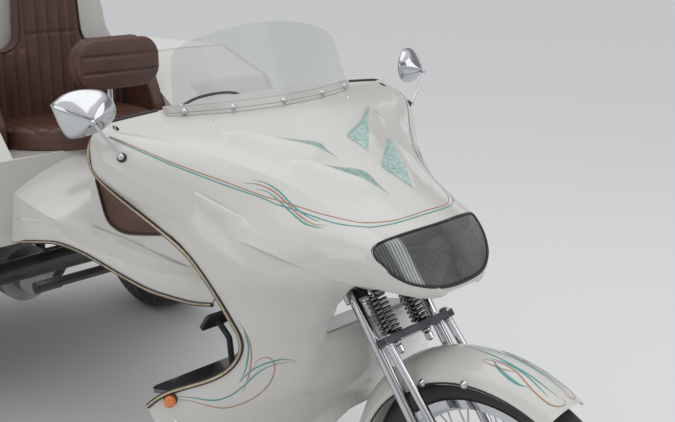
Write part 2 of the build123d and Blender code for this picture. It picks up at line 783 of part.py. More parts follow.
with BuildPart() as rear_axle:
    rod([(axle_arm_x, -430, axle_arm_z), (axle_arm_x, 430, axle_arm_z)], axle_tube_radius + 10)
    rod([(rear_axle_x, -560, rear_axle_z), (rear_axle_x, 560, rear_axle_z)], axle_tube_radius)
    rod([(rear_axle_x, -110, rear_axle_z), (rear_axle_x, 110, rear_axle_z)], axle_tube_radius + 25)
    for sign in (-1, 1):
        with BuildSketch(across(0, sign * 500 - 7, 0)) as arm:
            with BuildLine():
                Polyline((axle_arm_x + 30, -axle_arm_z - 34), (axle_arm_x + 30, -axle_arm_z + 34),
                         (rear_axle_x - 40, -rear_axle_z + 46), (rear_axle_x - 40, -rear_axle_z - 46),
                         close=True)
            make_face()
            fillet(arm.vertices(), radius=20)
        extrude(to_extrude=arm.sketch, amount=14)
        rod([(axle_arm_x, sign * 425, axle_arm_z), (axle_arm_x, sign * 512, axle_arm_z)], 26)
        rod([(rear_axle_x, sign * 545, rear_axle_z), (rear_axle_x, sign * 560, rear_axle_z)], 118)
        rod([(rear_axle_x, sign * 555, rear_axle_z), (rear_axle_x, sign * 640, rear_axle_z)], stub_radius)
save(rear_axle, "rear_axle")


# Rear wheels

for hand, sign in (("right", -1), ("left", 1)):
    centre = (rear_axle_x, 0, rear_axle_z)
    turn = Axis(centre, (0, 1, 0))
    middle = sign * rear_wheel_y
    with BuildPart() as rear_rim:
        with BuildSketch(wheel_section(rear_axle_x, rear_axle_z)) as section:
            with BuildLine():
                rim_profile(middle, rear_rim_radius, rear_rim_width, 8, 34)
            make_face()
        revolve(axis=turn)
        with BuildSketch(wheel_section(rear_axle_x, rear_axle_z)) as section:
            face_y = middle - sign * 30
            with BuildLine():
                Polyline((face_y, 0), (face_y + sign * 34, 0), (face_y + sign * 34, rear_hub_radius - 24),
                         (face_y + sign * rear_disc_wall, rear_hub_radius),
                         (face_y + sign * 52, rear_rim_radius - 60),
                         (middle + sign * 16, rear_rim_radius - 36),
                         (middle + sign * 4, rear_rim_radius - 36),
                         (face_y + sign * 40, rear_rim_radius - 60), (face_y, rear_hub_radius + 10),
                         close=True)
            make_face()
        revolve(axis=turn)
        with BuildSketch(wheel_section(rear_axle_x, rear_axle_z)) as section:
            with BuildLine():
                Polyline((sign * 575, 0), (face_y, 0), (face_y, rear_hub_radius + 10), (sign * 575, 70),
                         close=True)
            make_face()
        revolve(axis=turn)
        for window in range(wheel_windows):
            around = radians(90 + 360 / wheel_windows * window)
            spot = (rear_axle_x + 104 * cos(around), middle - 100, rear_axle_z + 104 * sin(around))
            disc(across(*spot), 24, 200, Mode.SUBTRACT)
        disc(across(rear_axle_x, sign * 608 - 36, rear_axle_z), stub_radius + running_gap, 72, Mode.SUBTRACT)
    save(rear_rim, f"rear_rim_{hand}")

    with BuildPart() as rear_tyre:
        with BuildSketch(wheel_section(rear_axle_x, rear_axle_z)) as section:
            with BuildLine():
                half = rear_tyre_width / 2
                tyre_profile(middle, rear_tyre_radius, rear_rim_radius - 13.5, half * 0.84, half,
                             rear_rim_width / 2 - 8.5, 12)
            make_face()
        revolve(axis=turn)
    save(rear_tyre, f"rear_tyre_{hand}")


# Main body

def spine_profile(station, inset):
    """Upright section of the spine, flat below and rounded above."""
    x, half, low, high = station
    low = low - (foot_drop if inset > 0 else -inset)
    with BuildSketch(Plane.YZ.offset(x)) as section:
        with BuildLine():
            brow = low + (high - low) * 0.62
            Line((inset - half, low), (half - inset, low))
            Line((half - inset, low), (half * 0.94 - inset, brow))
            ThreePointArc((half * 0.94 - inset, brow), (0, high - inset), (inset - half * 0.94, brow))
            Line((inset - half * 0.94, brow), (inset - half, low))
        make_face()
    return section.sketch


with BuildPart() as spine:
    loft(sections=[spine_profile(station, 0) for station in spine_stations])
    loft(sections=[spine_profile(station, glass_wall) for station in spine_stations], mode=Mode.SUBTRACT)
save(spine, "spine")

tub_outline = (
    (-120.5, 690), (-120.5, 938), (-190, 1010), (-330, 1100), (-520, ledge_z), (-1120, ledge_z),
    (-1240, 1120), (-1230, 700), (-1050, 690),
)


def tub_side(inset):
    """Side outline of the tub."""
    with BuildSketch(side) as section:
        with BuildLine():
            Polyline(*tub_outline, close=True)
        make_face()
        fillet(section.vertices().sort_by(Axis.X)[:4], radius=38)
        if inset:
            offset(amount=-inset)
    return section.sketch


def recess(grow):
    """Room for the passenger's seat, grown by the wall around it."""
    low = seat_floor_z - grow
    with BuildSketch(Plane.XY.offset(low)) as plan:
        with BuildLine():
            back = seat_back_x - grow
            half = seat_recess_half + grow
            Polyline((0, half), (back, half), (back, -half), (0, -half), close=True)
        make_face()
    return plan.sketch


with BuildPart() as tub_room:
    extrude(to_extrude=tub_side(tub_wall), amount=tub_half - tub_wall, both=True)
    with Locations((-680, 0, 690)):
        Box(1080, 2 * (tub_half - tub_wall), 60)
    extrude(to_extrude=recess(tub_wall), amount=400, mode=Mode.SUBTRACT)

with BuildPart() as tub:
    extrude(to_extrude=tub_side(0), amount=tub_half, both=True)
    add(tub_room.part, mode=Mode.SUBTRACT)
    extrude(to_extrude=recess(0), amount=400, mode=Mode.SUBTRACT)
    with Locations((-125, 0, backbone_z)):
        Box(40, 2 * backbone_radius + 130, 2 * backbone_radius + 24, mode=Mode.SUBTRACT)
    with Locations((-1240, 0, 830)):
        Box(120, 560, 300, mode=Mode.SUBTRACT)
save(tub, "tub")

with BuildPart() as seat_shell:
    with BuildSketch(Plane.YZ.offset(seat_back_x - 86)) as section:
        with BuildLine():
            Line((-300, ledge_z + shell_gap), (300, ledge_z + shell_gap))
            ThreePointArc((300, ledge_z + shell_gap), (252, ledge_z + 60), (238, ledge_z + 130))
            Line((238, ledge_z + 130), (200, shell_top_z - 60))
            ThreePointArc((200, shell_top_z - 60), (0, shell_top_z), (-200, shell_top_z - 60))
            Line((-200, shell_top_z - 60), (-238, ledge_z + 130))
            ThreePointArc((-238, ledge_z + 130), (-252, ledge_z + 60), (-300, ledge_z + shell_gap))
        make_face()
    extrude(amount=72)
save(seat_shell, "seat_shell")


def pod_side(inset):
    """Side outline of a rear pod over the wheel."""
    with BuildSketch(side) as section:
        with BuildLine():
            Polyline(
                (-196, 905), (-300, 1060), (-536, pod_top_z), (-1180, pod_top_z - 12), (-1420, 1010),
                (-1500, 640), (-1440, 470), (-400, 470), (-235, 700), close=True,
            )
        make_face()
        fillet(section.vertices(), radius=60)
        if inset:
            offset(amount=-inset)
    return section.sketch


for hand, sign in (("right", -1), ("left", 1)):
    wall_y = sign * (pod_inner + shell_gap)
    reach = pod_outer - pod_inner - shell_gap
    with BuildPart() as pod_room:
        extrude(to_extrude=Pos(0, wall_y + sign * pod_wall, 0) * pod_side(pod_wall),
                amount=-sign * (reach - 2 * pod_wall))
        room_edge = pod_room.faces().sort_by(Axis.Y)[0 if sign < 0 else -1].edges()
        fillet(room_edge, radius=pod_round - pod_wall)
    with BuildPart() as pod:
        extrude(to_extrude=Pos(0, wall_y, 0) * pod_side(0), amount=-sign * reach)
        outer_edge = pod.faces().sort_by(Axis.Y)[0 if sign < 0 else -1].edges()
        fillet(outer_edge, radius=pod_round)
        add(pod_room.part, mode=Mode.SUBTRACT)
        with Locations((-920, sign * (pod_inner + reach / 2), 466)):
            Box(1030, reach - 2 * pod_wall, 60, mode=Mode.SUBTRACT)
        with Locations((-900, sign * (pod_inner + 10), 500)):
            Box(1400, 60, 2 * (660 - 500), mode=Mode.SUBTRACT)
        disc(across(rear_axle_x, sign * 700 - 200, rear_axle_z), arch_radius, 400, Mode.SUBTRACT)
    save(pod, f"pod_{hand}")


# Seats

seat_side = (
    (604, seat_foot_z), (600, 838), (520, 852), (330, driver_seat_top), (232, 884), (170, 944),
    (122, 948), (112, seat_foot_z),
)
with BuildPart() as driver_seat:
    with BuildSketch(side) as section:
        with BuildLine():
            Polyline(*seat_side, close=True)
        make_face()
        fillet(section.vertices().sort_by(Axis.Y)[2:], radius=12)
    extrude(amount=driver_seat_half, both=True)
    fillet(driver_seat.faces().sort_by(Axis.Y)[0].edges().group_by(Axis.Z)[-1], radius=20)
    fillet(driver_seat.faces().sort_by(Axis.Y)[-1].edges().group_by(Axis.Z)[-1], radius=20)
    loft(sections=[spine_profile(station, -loft_gap) for station in spine_stations], mode=Mode.SUBTRACT)
save(driver_seat, "driver_seat")

with BuildPart() as driver_backrest:
    with BuildSketch(Plane.YZ.offset(pad_x - pad_thick / 2)) as section:
        with Locations((0, pad_z)):
            RectangleRounded(pad_wide, pad_tall, pad_tall / 2 - 4)
    extrude(amount=pad_thick)
save(driver_backrest, "driver_backrest")

post_back = pad_x - pad_thick / 2 - soft_gap
with BuildPart() as backrest_post:
    rod([(post_back - 12, 0, pad_z - 4), (-74, 0, 1075), (-68, 0, 960), (-58, 0, 830)], post_radius, 40)
    with Locations((post_back - 3, 0, pad_z)):
        Box(6, 90, 60)
    loft(sections=[spine_profile(station, -loft_gap) for station in spine_stations], mode=Mode.SUBTRACT)
save(backrest_post, "backrest_post")

with BuildPart() as passenger_cushion:
    with BuildSketch(Plane.XY.offset(seat_floor_z + soft_gap)) as section:
        with BuildLine():
            back = seat_back_x + 62
            Line((back, -258), (-286, -258))
            ThreePointArc((-286, -258), (-82, 0), (-286, 258))
            Polyline((-286, 258), (back, 258), (back, -258))
        make_face()
    extrude(amount=cushion_top - seat_floor_z - soft_gap)
save(passenger_cushion, "passenger_cushion")

with BuildPart() as passenger_backrest:
    with BuildSketch(Plane.YZ.offset(seat_back_x + soft_gap)) as section:
        with BuildLine():
            Polyline((-258, seat_floor_z + 1), (258, seat_floor_z + 1), (258, 1206))
            Line((258, 1206), (160, 1211))
            ThreePointArc((160, 1211), (122, 1226), (108, 1262))
            Line((108, 1262), (96, backrest_top_z - 30))
            ThreePointArc((96, backrest_top_z - 30), (0, backrest_top_z), (-96, backrest_top_z - 30))
            Line((-96, backrest_top_z - 30), (-108, 1262))
            ThreePointArc((-108, 1262), (-122, 1226), (-160, 1211))
            Polyline((-160, 1211), (-258, 1206), (-258, seat_floor_z + 1))
        make_face()
    extrude(amount=56)
save(passenger_backrest, "passenger_backrest")

wing_low = seat_floor_z + soft_gap
with BuildPart() as seat_wings:
    for sign in (-1, 1):
        with BuildSketch(across(0, sign * wing_y - wing_wide / 2, 0)) as section:
            with BuildLine():
                Polyline((seat_back_x + 60, -wing_low), (-226, -wing_low), (-228, -1012), (-292, -1140),
                         (-400, -1206), (seat_back_x + 60, -1208), close=True)
            make_face()
        extrude(to_extrude=section.sketch, amount=wing_wide)
save(seat_wings, "seat_wings")


# Fittings on the body

with BuildPart() as ledge_cap:
    disc(Plane((-850, 345, ledge_z + shell_gap)), 24, 10)
    disc(Plane((-850, 345, ledge_z + 8)), 20, 34)
save(ledge_cap, "ledge_cap")

with BuildPart() as passenger_pegs:
    for sign in (-1, 1):
        rod([(peg_x, sign * 70, peg_z), (peg_x, sign * (peg_out - 74), peg_z)], 14)
        rod([(peg_x, sign * (peg_out - 76), peg_z), (peg_x, sign * peg_out, peg_z)], 17)
        rod([(peg_x, sign * 70, peg_z - 4), (peg_x, sign * 12, backbone_z - 10)], 14)
    rod([(peg_x - 100, 0, backbone_z), (peg_x + 100, 0, backbone_z)], backbone_radius + shell_gap,
        mode=Mode.SUBTRACT)
save(passenger_pegs, "passenger_pegs")

def board_plane(sign):
    """Underside of a footboard, tipped up towards the front."""
    return Plane((790, sign * 235, board_z), x_dir=(1, 0, 0.28), z_dir=(-0.28, 0, 1))


with BuildPart() as footboards:
    for sign in (-1, 1):
        with BuildSketch(board_plane(sign)) as section:
            RectangleRounded(250, 330, 30)
        extrude(to_extrude=section.sketch, amount=board_thick)
        for y in (150, 300):
            rod([(800, sign * y, cross_tube_z + rail_radius - 3), (800, sign * y, board_z + 6)], 9)
    loft(
        sections=[shield_profile(station, glass_wall + loft_gap) for station in shield_stations],
        ruled=True,
        mode=Mode.INTERSECT,
    )
    rod([(800, -400, cross_tube_z), (800, 400, cross_tube_z)], rail_radius - 3 + shell_gap,
        mode=Mode.SUBTRACT)
save(footboards, "footboards")

with BuildPart() as foot_pedals:
    for sign in (-1, 1):
        x, y, z = pedal_spot
        with BuildSketch(Plane((x, sign * y, z), x_dir=(0, 1, 0), z_dir=(-0.8, 0, 0.6))) as pad:
            RectangleRounded(76, 52, 10)
        extrude(to_extrude=pad.sketch, amount=9)
        rod([(x + 1, sign * y, z), (x + 40, sign * y, z - 30), (x + 52, sign * y, board_z + 24)], 7, 14)
        with BuildSketch(board_plane(sign)) as board_room:
            Rectangle(300, 300)
        extrude(to_extrude=board_room.sketch, amount=board_thick + shell_gap, mode=Mode.SUBTRACT)
save(foot_pedals, "foot_pedals")

with BuildPart() as turn_lamps:
    for sign in (-1, 1):
        rod([(795, sign * 445, turn_lamp_z), (822, sign * 500, turn_lamp_z)], 9)
        rod([(812, sign * 498, turn_lamp_z), (842, sign * 526, turn_lamp_z)], 21)
    loft(
        sections=[shield_profile(station, -loft_gap) for station in shield_stations],
        ruled=True,
        mode=Mode.SUBTRACT,
    )
save(turn_lamps, "turn_lamps")

with BuildPart() as tail_lamps:
    with BuildSketch(Plane.YZ.offset(tail_lamp_x)) as section:
        with Locations((-700, 780), (700, 780)):
            RectangleRounded(110, 150, 40)
    extrude(amount=-34)
    for sign in (-1, 1):
        pod_solid = Pos(0, sign * (pod_inner + shell_gap), 0) * pod_side(-shell_gap)
        extrude(to_extrude=pod_solid, amount=-sign * (pod_outer - pod_inner), mode=Mode.SUBTRACT)
save(tail_lamps, "tail_lamps")


# Engine and gearbox

with BuildPart() as gearbox:
    rod([(-672, 0, 352), (-740, 0, 352)], 62)
    rod([(-735, 0, 352), (-1000, 0, 352)], 104)
    rod([(-990, 0, engine_z), (engine_x + case_long / 2 + shell_gap, 0, engine_z)], 150)
    rod([(rear_axle_x, -120, rear_axle_z), (rear_axle_x, 120, rear_axle_z)],
        axle_tube_radius + 25 + shell_gap, mode=Mode.SUBTRACT)
save(gearbox, "gearbox")

with BuildPart() as engine_case:
    with Locations((engine_x, 0, engine_z)):
        Box(case_long, case_wide - 60, case_tall)
    fillet(engine_case.edges().filter_by(Axis.X), radius=30)
    case_back = engine_x - case_long / 2
    rod([(case_back - 40, 0, engine_z - 10), (case_back - 12, 0, engine_z - 10)], 82)
    rod([(case_back - 14, 0, engine_z - 10), (case_back + 2, 0, engine_z - 10)], 50)
save(engine_case, "engine_case")

with BuildPart() as cylinder_banks:
    start_y = case_wide / 2 - 30 + shell_gap
    head_y = start_y + barrel_long
    for sign in (-1, 1):
        for x in (engine_x - barrel_pitch / 2, engine_x + barrel_pitch / 2):
            rod([(x, sign * start_y, engine_z), (x, sign * head_y, engine_z)], barrel_radius - 16)
            for fin in range(fin_count):
                y = start_y + 8 + fin * (barrel_long - 16) / (fin_count - 1)
                rod([(x, sign * (y - fin_wall / 2), engine_z), (x, sign * (y + fin_wall / 2), engine_z)],
                    barrel_radius - 10)
        with Locations((engine_x, sign * (head_y + head_wide / 2), engine_z)):
            Box(2 * barrel_pitch + 10, head_wide, head_tall)
        with Locations((engine_x, sign * (head_y + head_wide + cover_wide / 2), engine_z - 8)):
            Box(2 * barrel_pitch - 10, cover_wide, 92)
save(cylinder_banks, "cylinder_banks")

shroud_low = engine_z + case_tall / 2 + shell_gap
with BuildPart() as fan_shroud:
    with Locations((engine_x + 40, 0, shroud_low + 55)):
        Box(130, 420, 110)
    rod([(engine_x - 25, 0, shroud_low + 130), (engine_x + 105, 0, shroud_low + 130)], 118)
    rod([(engine_x - 150, 0, shroud_low + 96), (engine_x - 24, 0, shroud_low + 96)], 52)
    rod([(engine_x + 80, 0, shroud_low + 130), (engine_x + 110, 0, shroud_low + 130)], 70,
        mode=Mode.SUBTRACT)
save(fan_shroud, "fan_shroud")

with BuildPart() as exhaust:
    rod([(muffler_x, -muffler_half, muffler_z), (muffler_x, muffler_half, muffler_z)], muffler_radius)
    for sign in (-1, 1):
        head_y = case_wide / 2 - 30 + barrel_long + head_wide / 2
        rod([(engine_x - 60, sign * head_y, engine_z - 64.4), (engine_x - 60, sign * head_y, header_z),
             (muffler_x + 45, sign * (head_y - 22), header_z),
             (muffler_x, sign * (muffler_half - 10), header_z + 6)], 19, 30)
        rod([(muffler_x, sign * 110, muffler_z - 4), (tail_pipe_x, sign * 110, muffler_z - 8)], 24)
        rod([(tail_pipe_x + 60, sign * 110, muffler_z - 7), (tail_pipe_x - 10, sign * 110, muffler_z - 8)],
            20, mode=Mode.SUBTRACT)
save(exhaust, "exhaust")

with BuildPart() as bumper:
    rod([(-1500, -520, bumper_z), (-1688, -400, bumper_z), (-1703, 0, bumper_z), (-1688, 400, bumper_z),
         (-1500, 520, bumper_z)], 22, 90)
    for sign in (-1, 1):
        rod([(rail_end_x - shell_gap, sign * rail_spread, engine_rail_z),
             (-1510, sign * rail_spread, engine_rail_z), (-1694, sign * rail_spread, bumper_z)], 17, 40)
save(bumper, "bumper")
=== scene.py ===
import bmesh
import bpy
from math import cos, pi, radians, sin
from mathutils import Matrix, Vector
from mathutils.bvhtree import BVHTree


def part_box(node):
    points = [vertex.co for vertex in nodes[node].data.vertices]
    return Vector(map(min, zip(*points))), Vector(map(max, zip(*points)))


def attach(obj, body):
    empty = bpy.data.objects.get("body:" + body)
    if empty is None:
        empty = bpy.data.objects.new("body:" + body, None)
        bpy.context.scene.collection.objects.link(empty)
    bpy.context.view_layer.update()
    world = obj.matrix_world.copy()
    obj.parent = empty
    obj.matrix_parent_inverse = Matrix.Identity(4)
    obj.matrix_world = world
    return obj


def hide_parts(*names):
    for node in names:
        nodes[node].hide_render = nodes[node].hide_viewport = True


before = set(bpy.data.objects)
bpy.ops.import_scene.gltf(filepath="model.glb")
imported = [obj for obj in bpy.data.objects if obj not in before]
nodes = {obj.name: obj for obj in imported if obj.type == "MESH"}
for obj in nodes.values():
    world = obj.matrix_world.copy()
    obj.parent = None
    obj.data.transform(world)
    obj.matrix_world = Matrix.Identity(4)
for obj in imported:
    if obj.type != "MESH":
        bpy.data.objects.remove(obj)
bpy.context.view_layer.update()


# Camera at the photograph's place

camera_spot = Vector((2.394, -1.489, 1.570))
camera_ahead = Vector((-0.6802, 0.6748, -0.2864)).normalized()
camera_right = Vector((0.7043, 0.7099, 0)).normalized()
camera_up = camera_right.cross(camera_ahead)
camera_data = bpy.data.cameras.new("camera")
camera_data.sensor_width = 36
camera_data.lens = 941.8 / 675 * 36
camera_data.clip_end = 60
camera = bpy.data.objects.new("camera", camera_data)
turn = Matrix((camera_right, camera_up, -camera_ahead)).transposed().to_4x4()
camera.matrix_world = Matrix.Translation(camera_spot) @ turn
bpy.context.scene.collection.objects.link(camera)
bpy.context.scene.camera = camera


# Shader groups

def group(name, inputs, outputs):
    """Empty shader group with named sockets, and its two end nodes."""
    tree = bpy.data.node_groups.new(name, "ShaderNodeTree")
    for label, kind, value in inputs:
        socket = tree.interface.new_socket(label, in_out="INPUT", socket_type=kind)
        if value is not None:
            socket.default_value = value
    for label, kind in outputs:
        tree.interface.new_socket(label, in_out="OUTPUT", socket_type=kind)
    return tree, tree.nodes.new("NodeGroupInput"), tree.nodes.new("NodeGroupOutput")


def noise(tree, vector, scale, detail=3, rough=0.5):
    node = tree.nodes.new("ShaderNodeTexNoise")
    node.inputs["Detail"].default_value = detail
    node.inputs["Roughness"].default_value = rough
    tree.links.new(vector, node.inputs["Vector"])
    if isinstance(scale, (int, float)):
        node.inputs["Scale"].default_value = scale
    else:
        tree.links.new(scale, node.inputs["Scale"])
    return node.outputs["Fac"]


def spread(tree, value, low, high, to_low, to_high):
    node = tree.nodes.new("ShaderNodeMapRange")
    node.inputs["From Min"].default_value = low
    node.inputs["From Max"].default_value = high
    for socket, end in (("To Min", to_low), ("To Max", to_high)):
        if isinstance(end, (int, float)):
            node.inputs[socket].default_value = end
        else:
            tree.links.new(end, node.inputs[socket])
    tree.links.new(value, node.inputs["Value"])
    return node.outputs["Result"]


def blend_colour(tree, factor, first, second, kind="MIX"):
    node = tree.nodes.new("ShaderNodeMix")
    node.data_type = "RGBA"
    node.blend_type = kind
    tree.links.new(factor, node.inputs["Factor"])
    for socket, end in ((6, first), (7, second)):
        if isinstance(end, tuple):
            node.inputs[socket].default_value = end
        else:
            tree.links.new(end, node.inputs[socket])
    return node.outputs[2]


def weathering_group():
    """Slow colour drift, patchy gloss and a fine grain over a finish."""
    tree, start, end = group(
        "weathering",
        (("Light", "NodeSocketColor", (1, 1, 1, 1)), ("Dark", "NodeSocketColor", (0.5, 0.5, 0.5, 1)),
         ("Drift Scale", "NodeSocketFloat", 4.0), ("Grain Scale", "NodeSocketFloat", 300.0),
         ("Rough Low", "NodeSocketFloat", 0.2), ("Rough High", "NodeSocketFloat", 0.4)),
        (("Color", "NodeSocketColor"), ("Roughness", "NodeSocketFloat"), ("Grain", "NodeSocketFloat")),
    )
    place = tree.nodes.new("ShaderNodeTexCoord").outputs["Object"]
    drift = noise(tree, place, start.outputs["Drift Scale"], 4, 0.55)
    grain = noise(tree, place, start.outputs["Grain Scale"], 2, 0.6)
    factor = spread(tree, drift, 0.3, 0.7, 0.0, 1.0)
    colour = blend_colour(tree, factor, start.outputs["Dark"], start.outputs["Light"])
    rough = spread(tree, drift, 0.25, 0.75, start.outputs["Rough Low"], start.outputs["Rough High"])
    tree.links.new(colour, end.inputs["Color"])
    tree.links.new(rough, end.inputs["Roughness"])
    tree.links.new(grain, end.inputs["Grain"])
    return tree


def dust_group():
    """Road dust that gathers low down, in cloudy patches."""
    tree, start, end = group(
        "road_dust",
        (("Base", "NodeSocketColor", (1, 1, 1, 1)), ("Dust", "NodeSocketColor", (0.3, 0.26, 0.2, 1)),
         ("Amount", "NodeSocketFloat", 0.2), ("Top Height", "NodeSocketFloat", 0.6)),
        (("Color", "NodeSocketColor"), ("Mask", "NodeSocketFloat")),
    )
    place = tree.nodes.new("ShaderNodeTexCoord").outputs["Object"]
    height = tree.nodes.new("ShaderNodeSeparateXYZ")
    tree.links.new(place, height.inputs[0])
    low = tree.nodes.new("ShaderNodeMapRange")
    tree.links.new(height.outputs["Z"], low.inputs["Value"])
    low.inputs["From Min"].default_value = 0.0
    tree.links.new(start.outputs["Top Height"], low.inputs["From Max"])
    low.inputs["To Min"].default_value = 1.0
    low.inputs["To Max"].default_value = 0.0
    cloud = spread(tree, noise(tree, place, 22, 6, 0.65), 0.42, 0.7, 0.0, 1.0)
    both = tree.nodes.new("ShaderNodeMath")
    both.operation = "MULTIPLY"
    tree.links.new(low.outputs["Result"], both.inputs[0])
    tree.links.new(cloud, both.inputs[1])
    mask = tree.nodes.new("ShaderNodeMath")
    mask.operation = "MULTIPLY"
    tree.links.new(both.outputs[0], mask.inputs[0])
    tree.links.new(start.outputs["Amount"], mask.inputs[1])
    colour = blend_colour(tree, mask.outputs[0], start.outputs["Base"], start.outputs["Dust"])
    tree.links.new(colour, end.inputs["Color"])
    tree.links.new(mask.outputs[0], end.inputs["Mask"])
    return tree


def hide_group():
    """Grained vinyl: small cells with soft creases, as a height and a mask for painted shade in the creases."""
    tree, start, end = group(
        "vinyl_hide",
        (("Cell Scale", "NodeSocketFloat", 420.0),),
        (("Height", "NodeSocketFloat"), ("Crease Shade", "NodeSocketFloat")),
    )
    place = tree.nodes.new("ShaderNodeTexCoord").outputs["Object"]
    cells = tree.nodes.new("ShaderNodeTexVoronoi")
    cells.feature = "DISTANCE_TO_EDGE"
    tree.links.new(place, cells.inputs["Vector"])
    tree.links.new(start.outputs["Cell Scale"], cells.inputs["Scale"])
    rise = spread(tree, cells.outputs["Distance"], 0.0, 0.35, 0.0, 1.0)
    folds = noise(tree, place, 34, 5, 0.6)
    total = tree.nodes.new("ShaderNodeMath")
    total.operation = "ADD"
    tree.links.new(rise, total.inputs[0])
    tree.links.new(folds, total.inputs[1])
    tree.links.new(total.outputs[0], end.inputs["Height"])
    tree.links.new(spread(tree, rise, 0.0, 0.5, 1.0, 0.0), end.inputs["Crease Shade"])
    return tree


weathering = weathering_group()
road_dust = dust_group()
vinyl_hide = hide_group()


def finish(name, light, dark, rough, drift=4.0, grain=300.0, bump=0.02, depth=0.0006, dust=0.0,
           dust_top=0.6, **shader_values):
    """Material of one finish, with its drift, grain and dust."""
    made = bpy.data.materials.new(name)
    made.use_nodes = True
    tree = made.node_tree
    shader = tree.nodes["Principled BSDF"]
    layer = tree.nodes.new("ShaderNodeGroup")
    layer.node_tree = weathering
    layer.inputs["Light"].default_value = (*light, 1)
    layer.inputs["Dark"].default_value = (*dark, 1)
    layer.inputs["Drift Scale"].default_value = drift
    layer.inputs["Grain Scale"].default_value = grain
    layer.inputs["Rough Low"].default_value = rough[0]
    layer.inputs["Rough High"].default_value = rough[1]
    colour = layer.outputs["Color"]
    if dust:
        powder = tree.nodes.new("ShaderNodeGroup")
        powder.node_tree = road_dust
        powder.inputs["Amount"].default_value = dust
        powder.inputs["Top Height"].default_value = dust_top
        tree.links.new(colour, powder.inputs["Base"])
        colour = powder.outputs["Color"]
    tree.links.new(colour, shader.inputs["Base Color"])
    tree.links.new(layer.outputs["Roughness"], shader.inputs["Roughness"])
    relief = tree.nodes.new("ShaderNodeBump")
    relief.inputs["Strength"].default_value = bump
    relief.inputs["Distance"].default_value = depth
    tree.links.new(layer.outputs["Grain"], relief.inputs["Height"])
    tree.links.new(relief.outputs["Normal"], shader.inputs["Normal"])
    for socket, value in shader_values.items():
        shader.inputs[socket.replace("_", " ")].default_value = value
    return made


shell_paint = finish("cream_gloss_paint", (0.60, 0.59, 0.555), (0.575, 0.562, 0.525), (0.14, 0.22), 2.5, 90,
                     0.03, 0.0008, 0.25, 0.5, Coat_Weight=0.6, Coat_Roughness=0.08)
shell_inside = finish("raw_glass_mat", (0.30, 0.29, 0.26), (0.20, 0.19, 0.17), (0.6, 0.8), 9, 160, 0.6, 0.002)
chrome = finish("polished_chrome", (0.60, 0.61, 0.63), (0.52, 0.53, 0.55), (0.04, 0.12), 14, 400, 0.02, 0.0003,
                0.2, 0.5, Metallic=1.0)
dark_enamel = finish("black_frame_enamel", (0.035, 0.036, 0.038), (0.02, 0.02, 0.022), (0.28, 0.45), 12, 260,
                     0.1, 0.0005, 0.35, 0.6, Coat_Weight=0.3)
cast_alloy = finish("cast_alloy", (0.42, 0.42, 0.41), (0.26, 0.26, 0.25), (0.38, 0.6), 14, 420, 0.6, 0.001,
                    0.5, 0.7, Metallic=0.85)
wheel_alloy = finish("machined_wheel_alloy", (0.62, 0.63, 0.64), (0.50, 0.51, 0.52), (0.2, 0.34), 18, 500, 0.1,
                     0.0004, 0.3, 0.5, Metallic=1.0)
grip_rubber = finish("moulded_rubber", (0.035, 0.035, 0.035), (0.02, 0.02, 0.02), (0.6, 0.8), 30, 600, 0.5, 0.001)
board_black = finish("black_step_paint", (0.03, 0.03, 0.032), (0.018, 0.018, 0.02), (0.12, 0.3), 10, 200, 0.2,
                     0.0006, 0.2, 0.8, Coat_Weight=0.6)
tin_black = finish("black_tinware", (0.04, 0.04, 0.042), (0.02, 0.02, 0.022), (0.3, 0.5), 12, 280, 0.2, 0.0006,
                   0.4, 0.8)
plated_dark = finish("dark_plated_steel", (0.10, 0.105, 0.115), (0.06, 0.062, 0.07), (0.2, 0.36), 25, 420, 0.15,
                     0.0004, Metallic=0.9)
spring_steel = finish("spring_steel", (0.27, 0.265, 0.25), (0.18, 0.178, 0.165), (0.14, 0.24), 30, 400, 0.1,
                      0.0004, Metallic=1.0)
trim_rubber = finish("black_edge_rubber", (0.02, 0.02, 0.02), (0.012, 0.012, 0.012), (0.4, 0.6), 20, 500, 0.3,
                     0.0005)
bead_metal = finish("tan_edge_bead", (0.52, 0.42, 0.30), (0.40, 0.32, 0.22), (0.22, 0.35), 25, 500, 0.1, 0.0004,
                    Metallic=0.6)
stripe_teal = finish("teal_line_paint", (0.08, 0.35, 0.33), (0.06, 0.29, 0.28), (0.2, 0.3), 60, 500, 0.05,
                     0.0002, Coat_Weight=0.5)
stripe_copper = finish("copper_line_paint", (0.48, 0.25, 0.14), (0.38, 0.19, 0.10), (0.2, 0.3), 60, 500, 0.05,
                       0.0002, Coat_Weight=0.5)


def flake_material():
    """Teal patches broken into small pale and dark chips."""
    made = finish("teal_mosaic_flake", (0.27, 0.42, 0.385), (0.19, 0.33, 0.30), (0.25, 0.4), 30, 400, 0.1, 0.0004,
                  Coat_Weight=0.6)
    tree = made.node_tree
    shader = tree.nodes["Principled BSDF"]
    place = tree.nodes.new("ShaderNodeTexCoord").outputs["Object"]
    chips = tree.nodes.new("ShaderNodeTexVoronoi")
    chips.inputs["Scale"].default_value = 190
    tree.links.new(place, chips.inputs["Vector"])
    tone = tree.nodes.new("ShaderNodeSeparateColor")
    tree.links.new(chips.outputs["Color"], tone.inputs[0])
    base = shader.inputs["Base Color"].links[0].from_socket
    colour = blend_colour(tree, spread(tree, tone.outputs[0], 0.35, 0.9, 0.0, 0.7), base, (0.50, 0.60, 0.55, 1))
    tree.links.new(colour, shader.inputs["Base Color"])
    return made


teal_flake = flake_material()


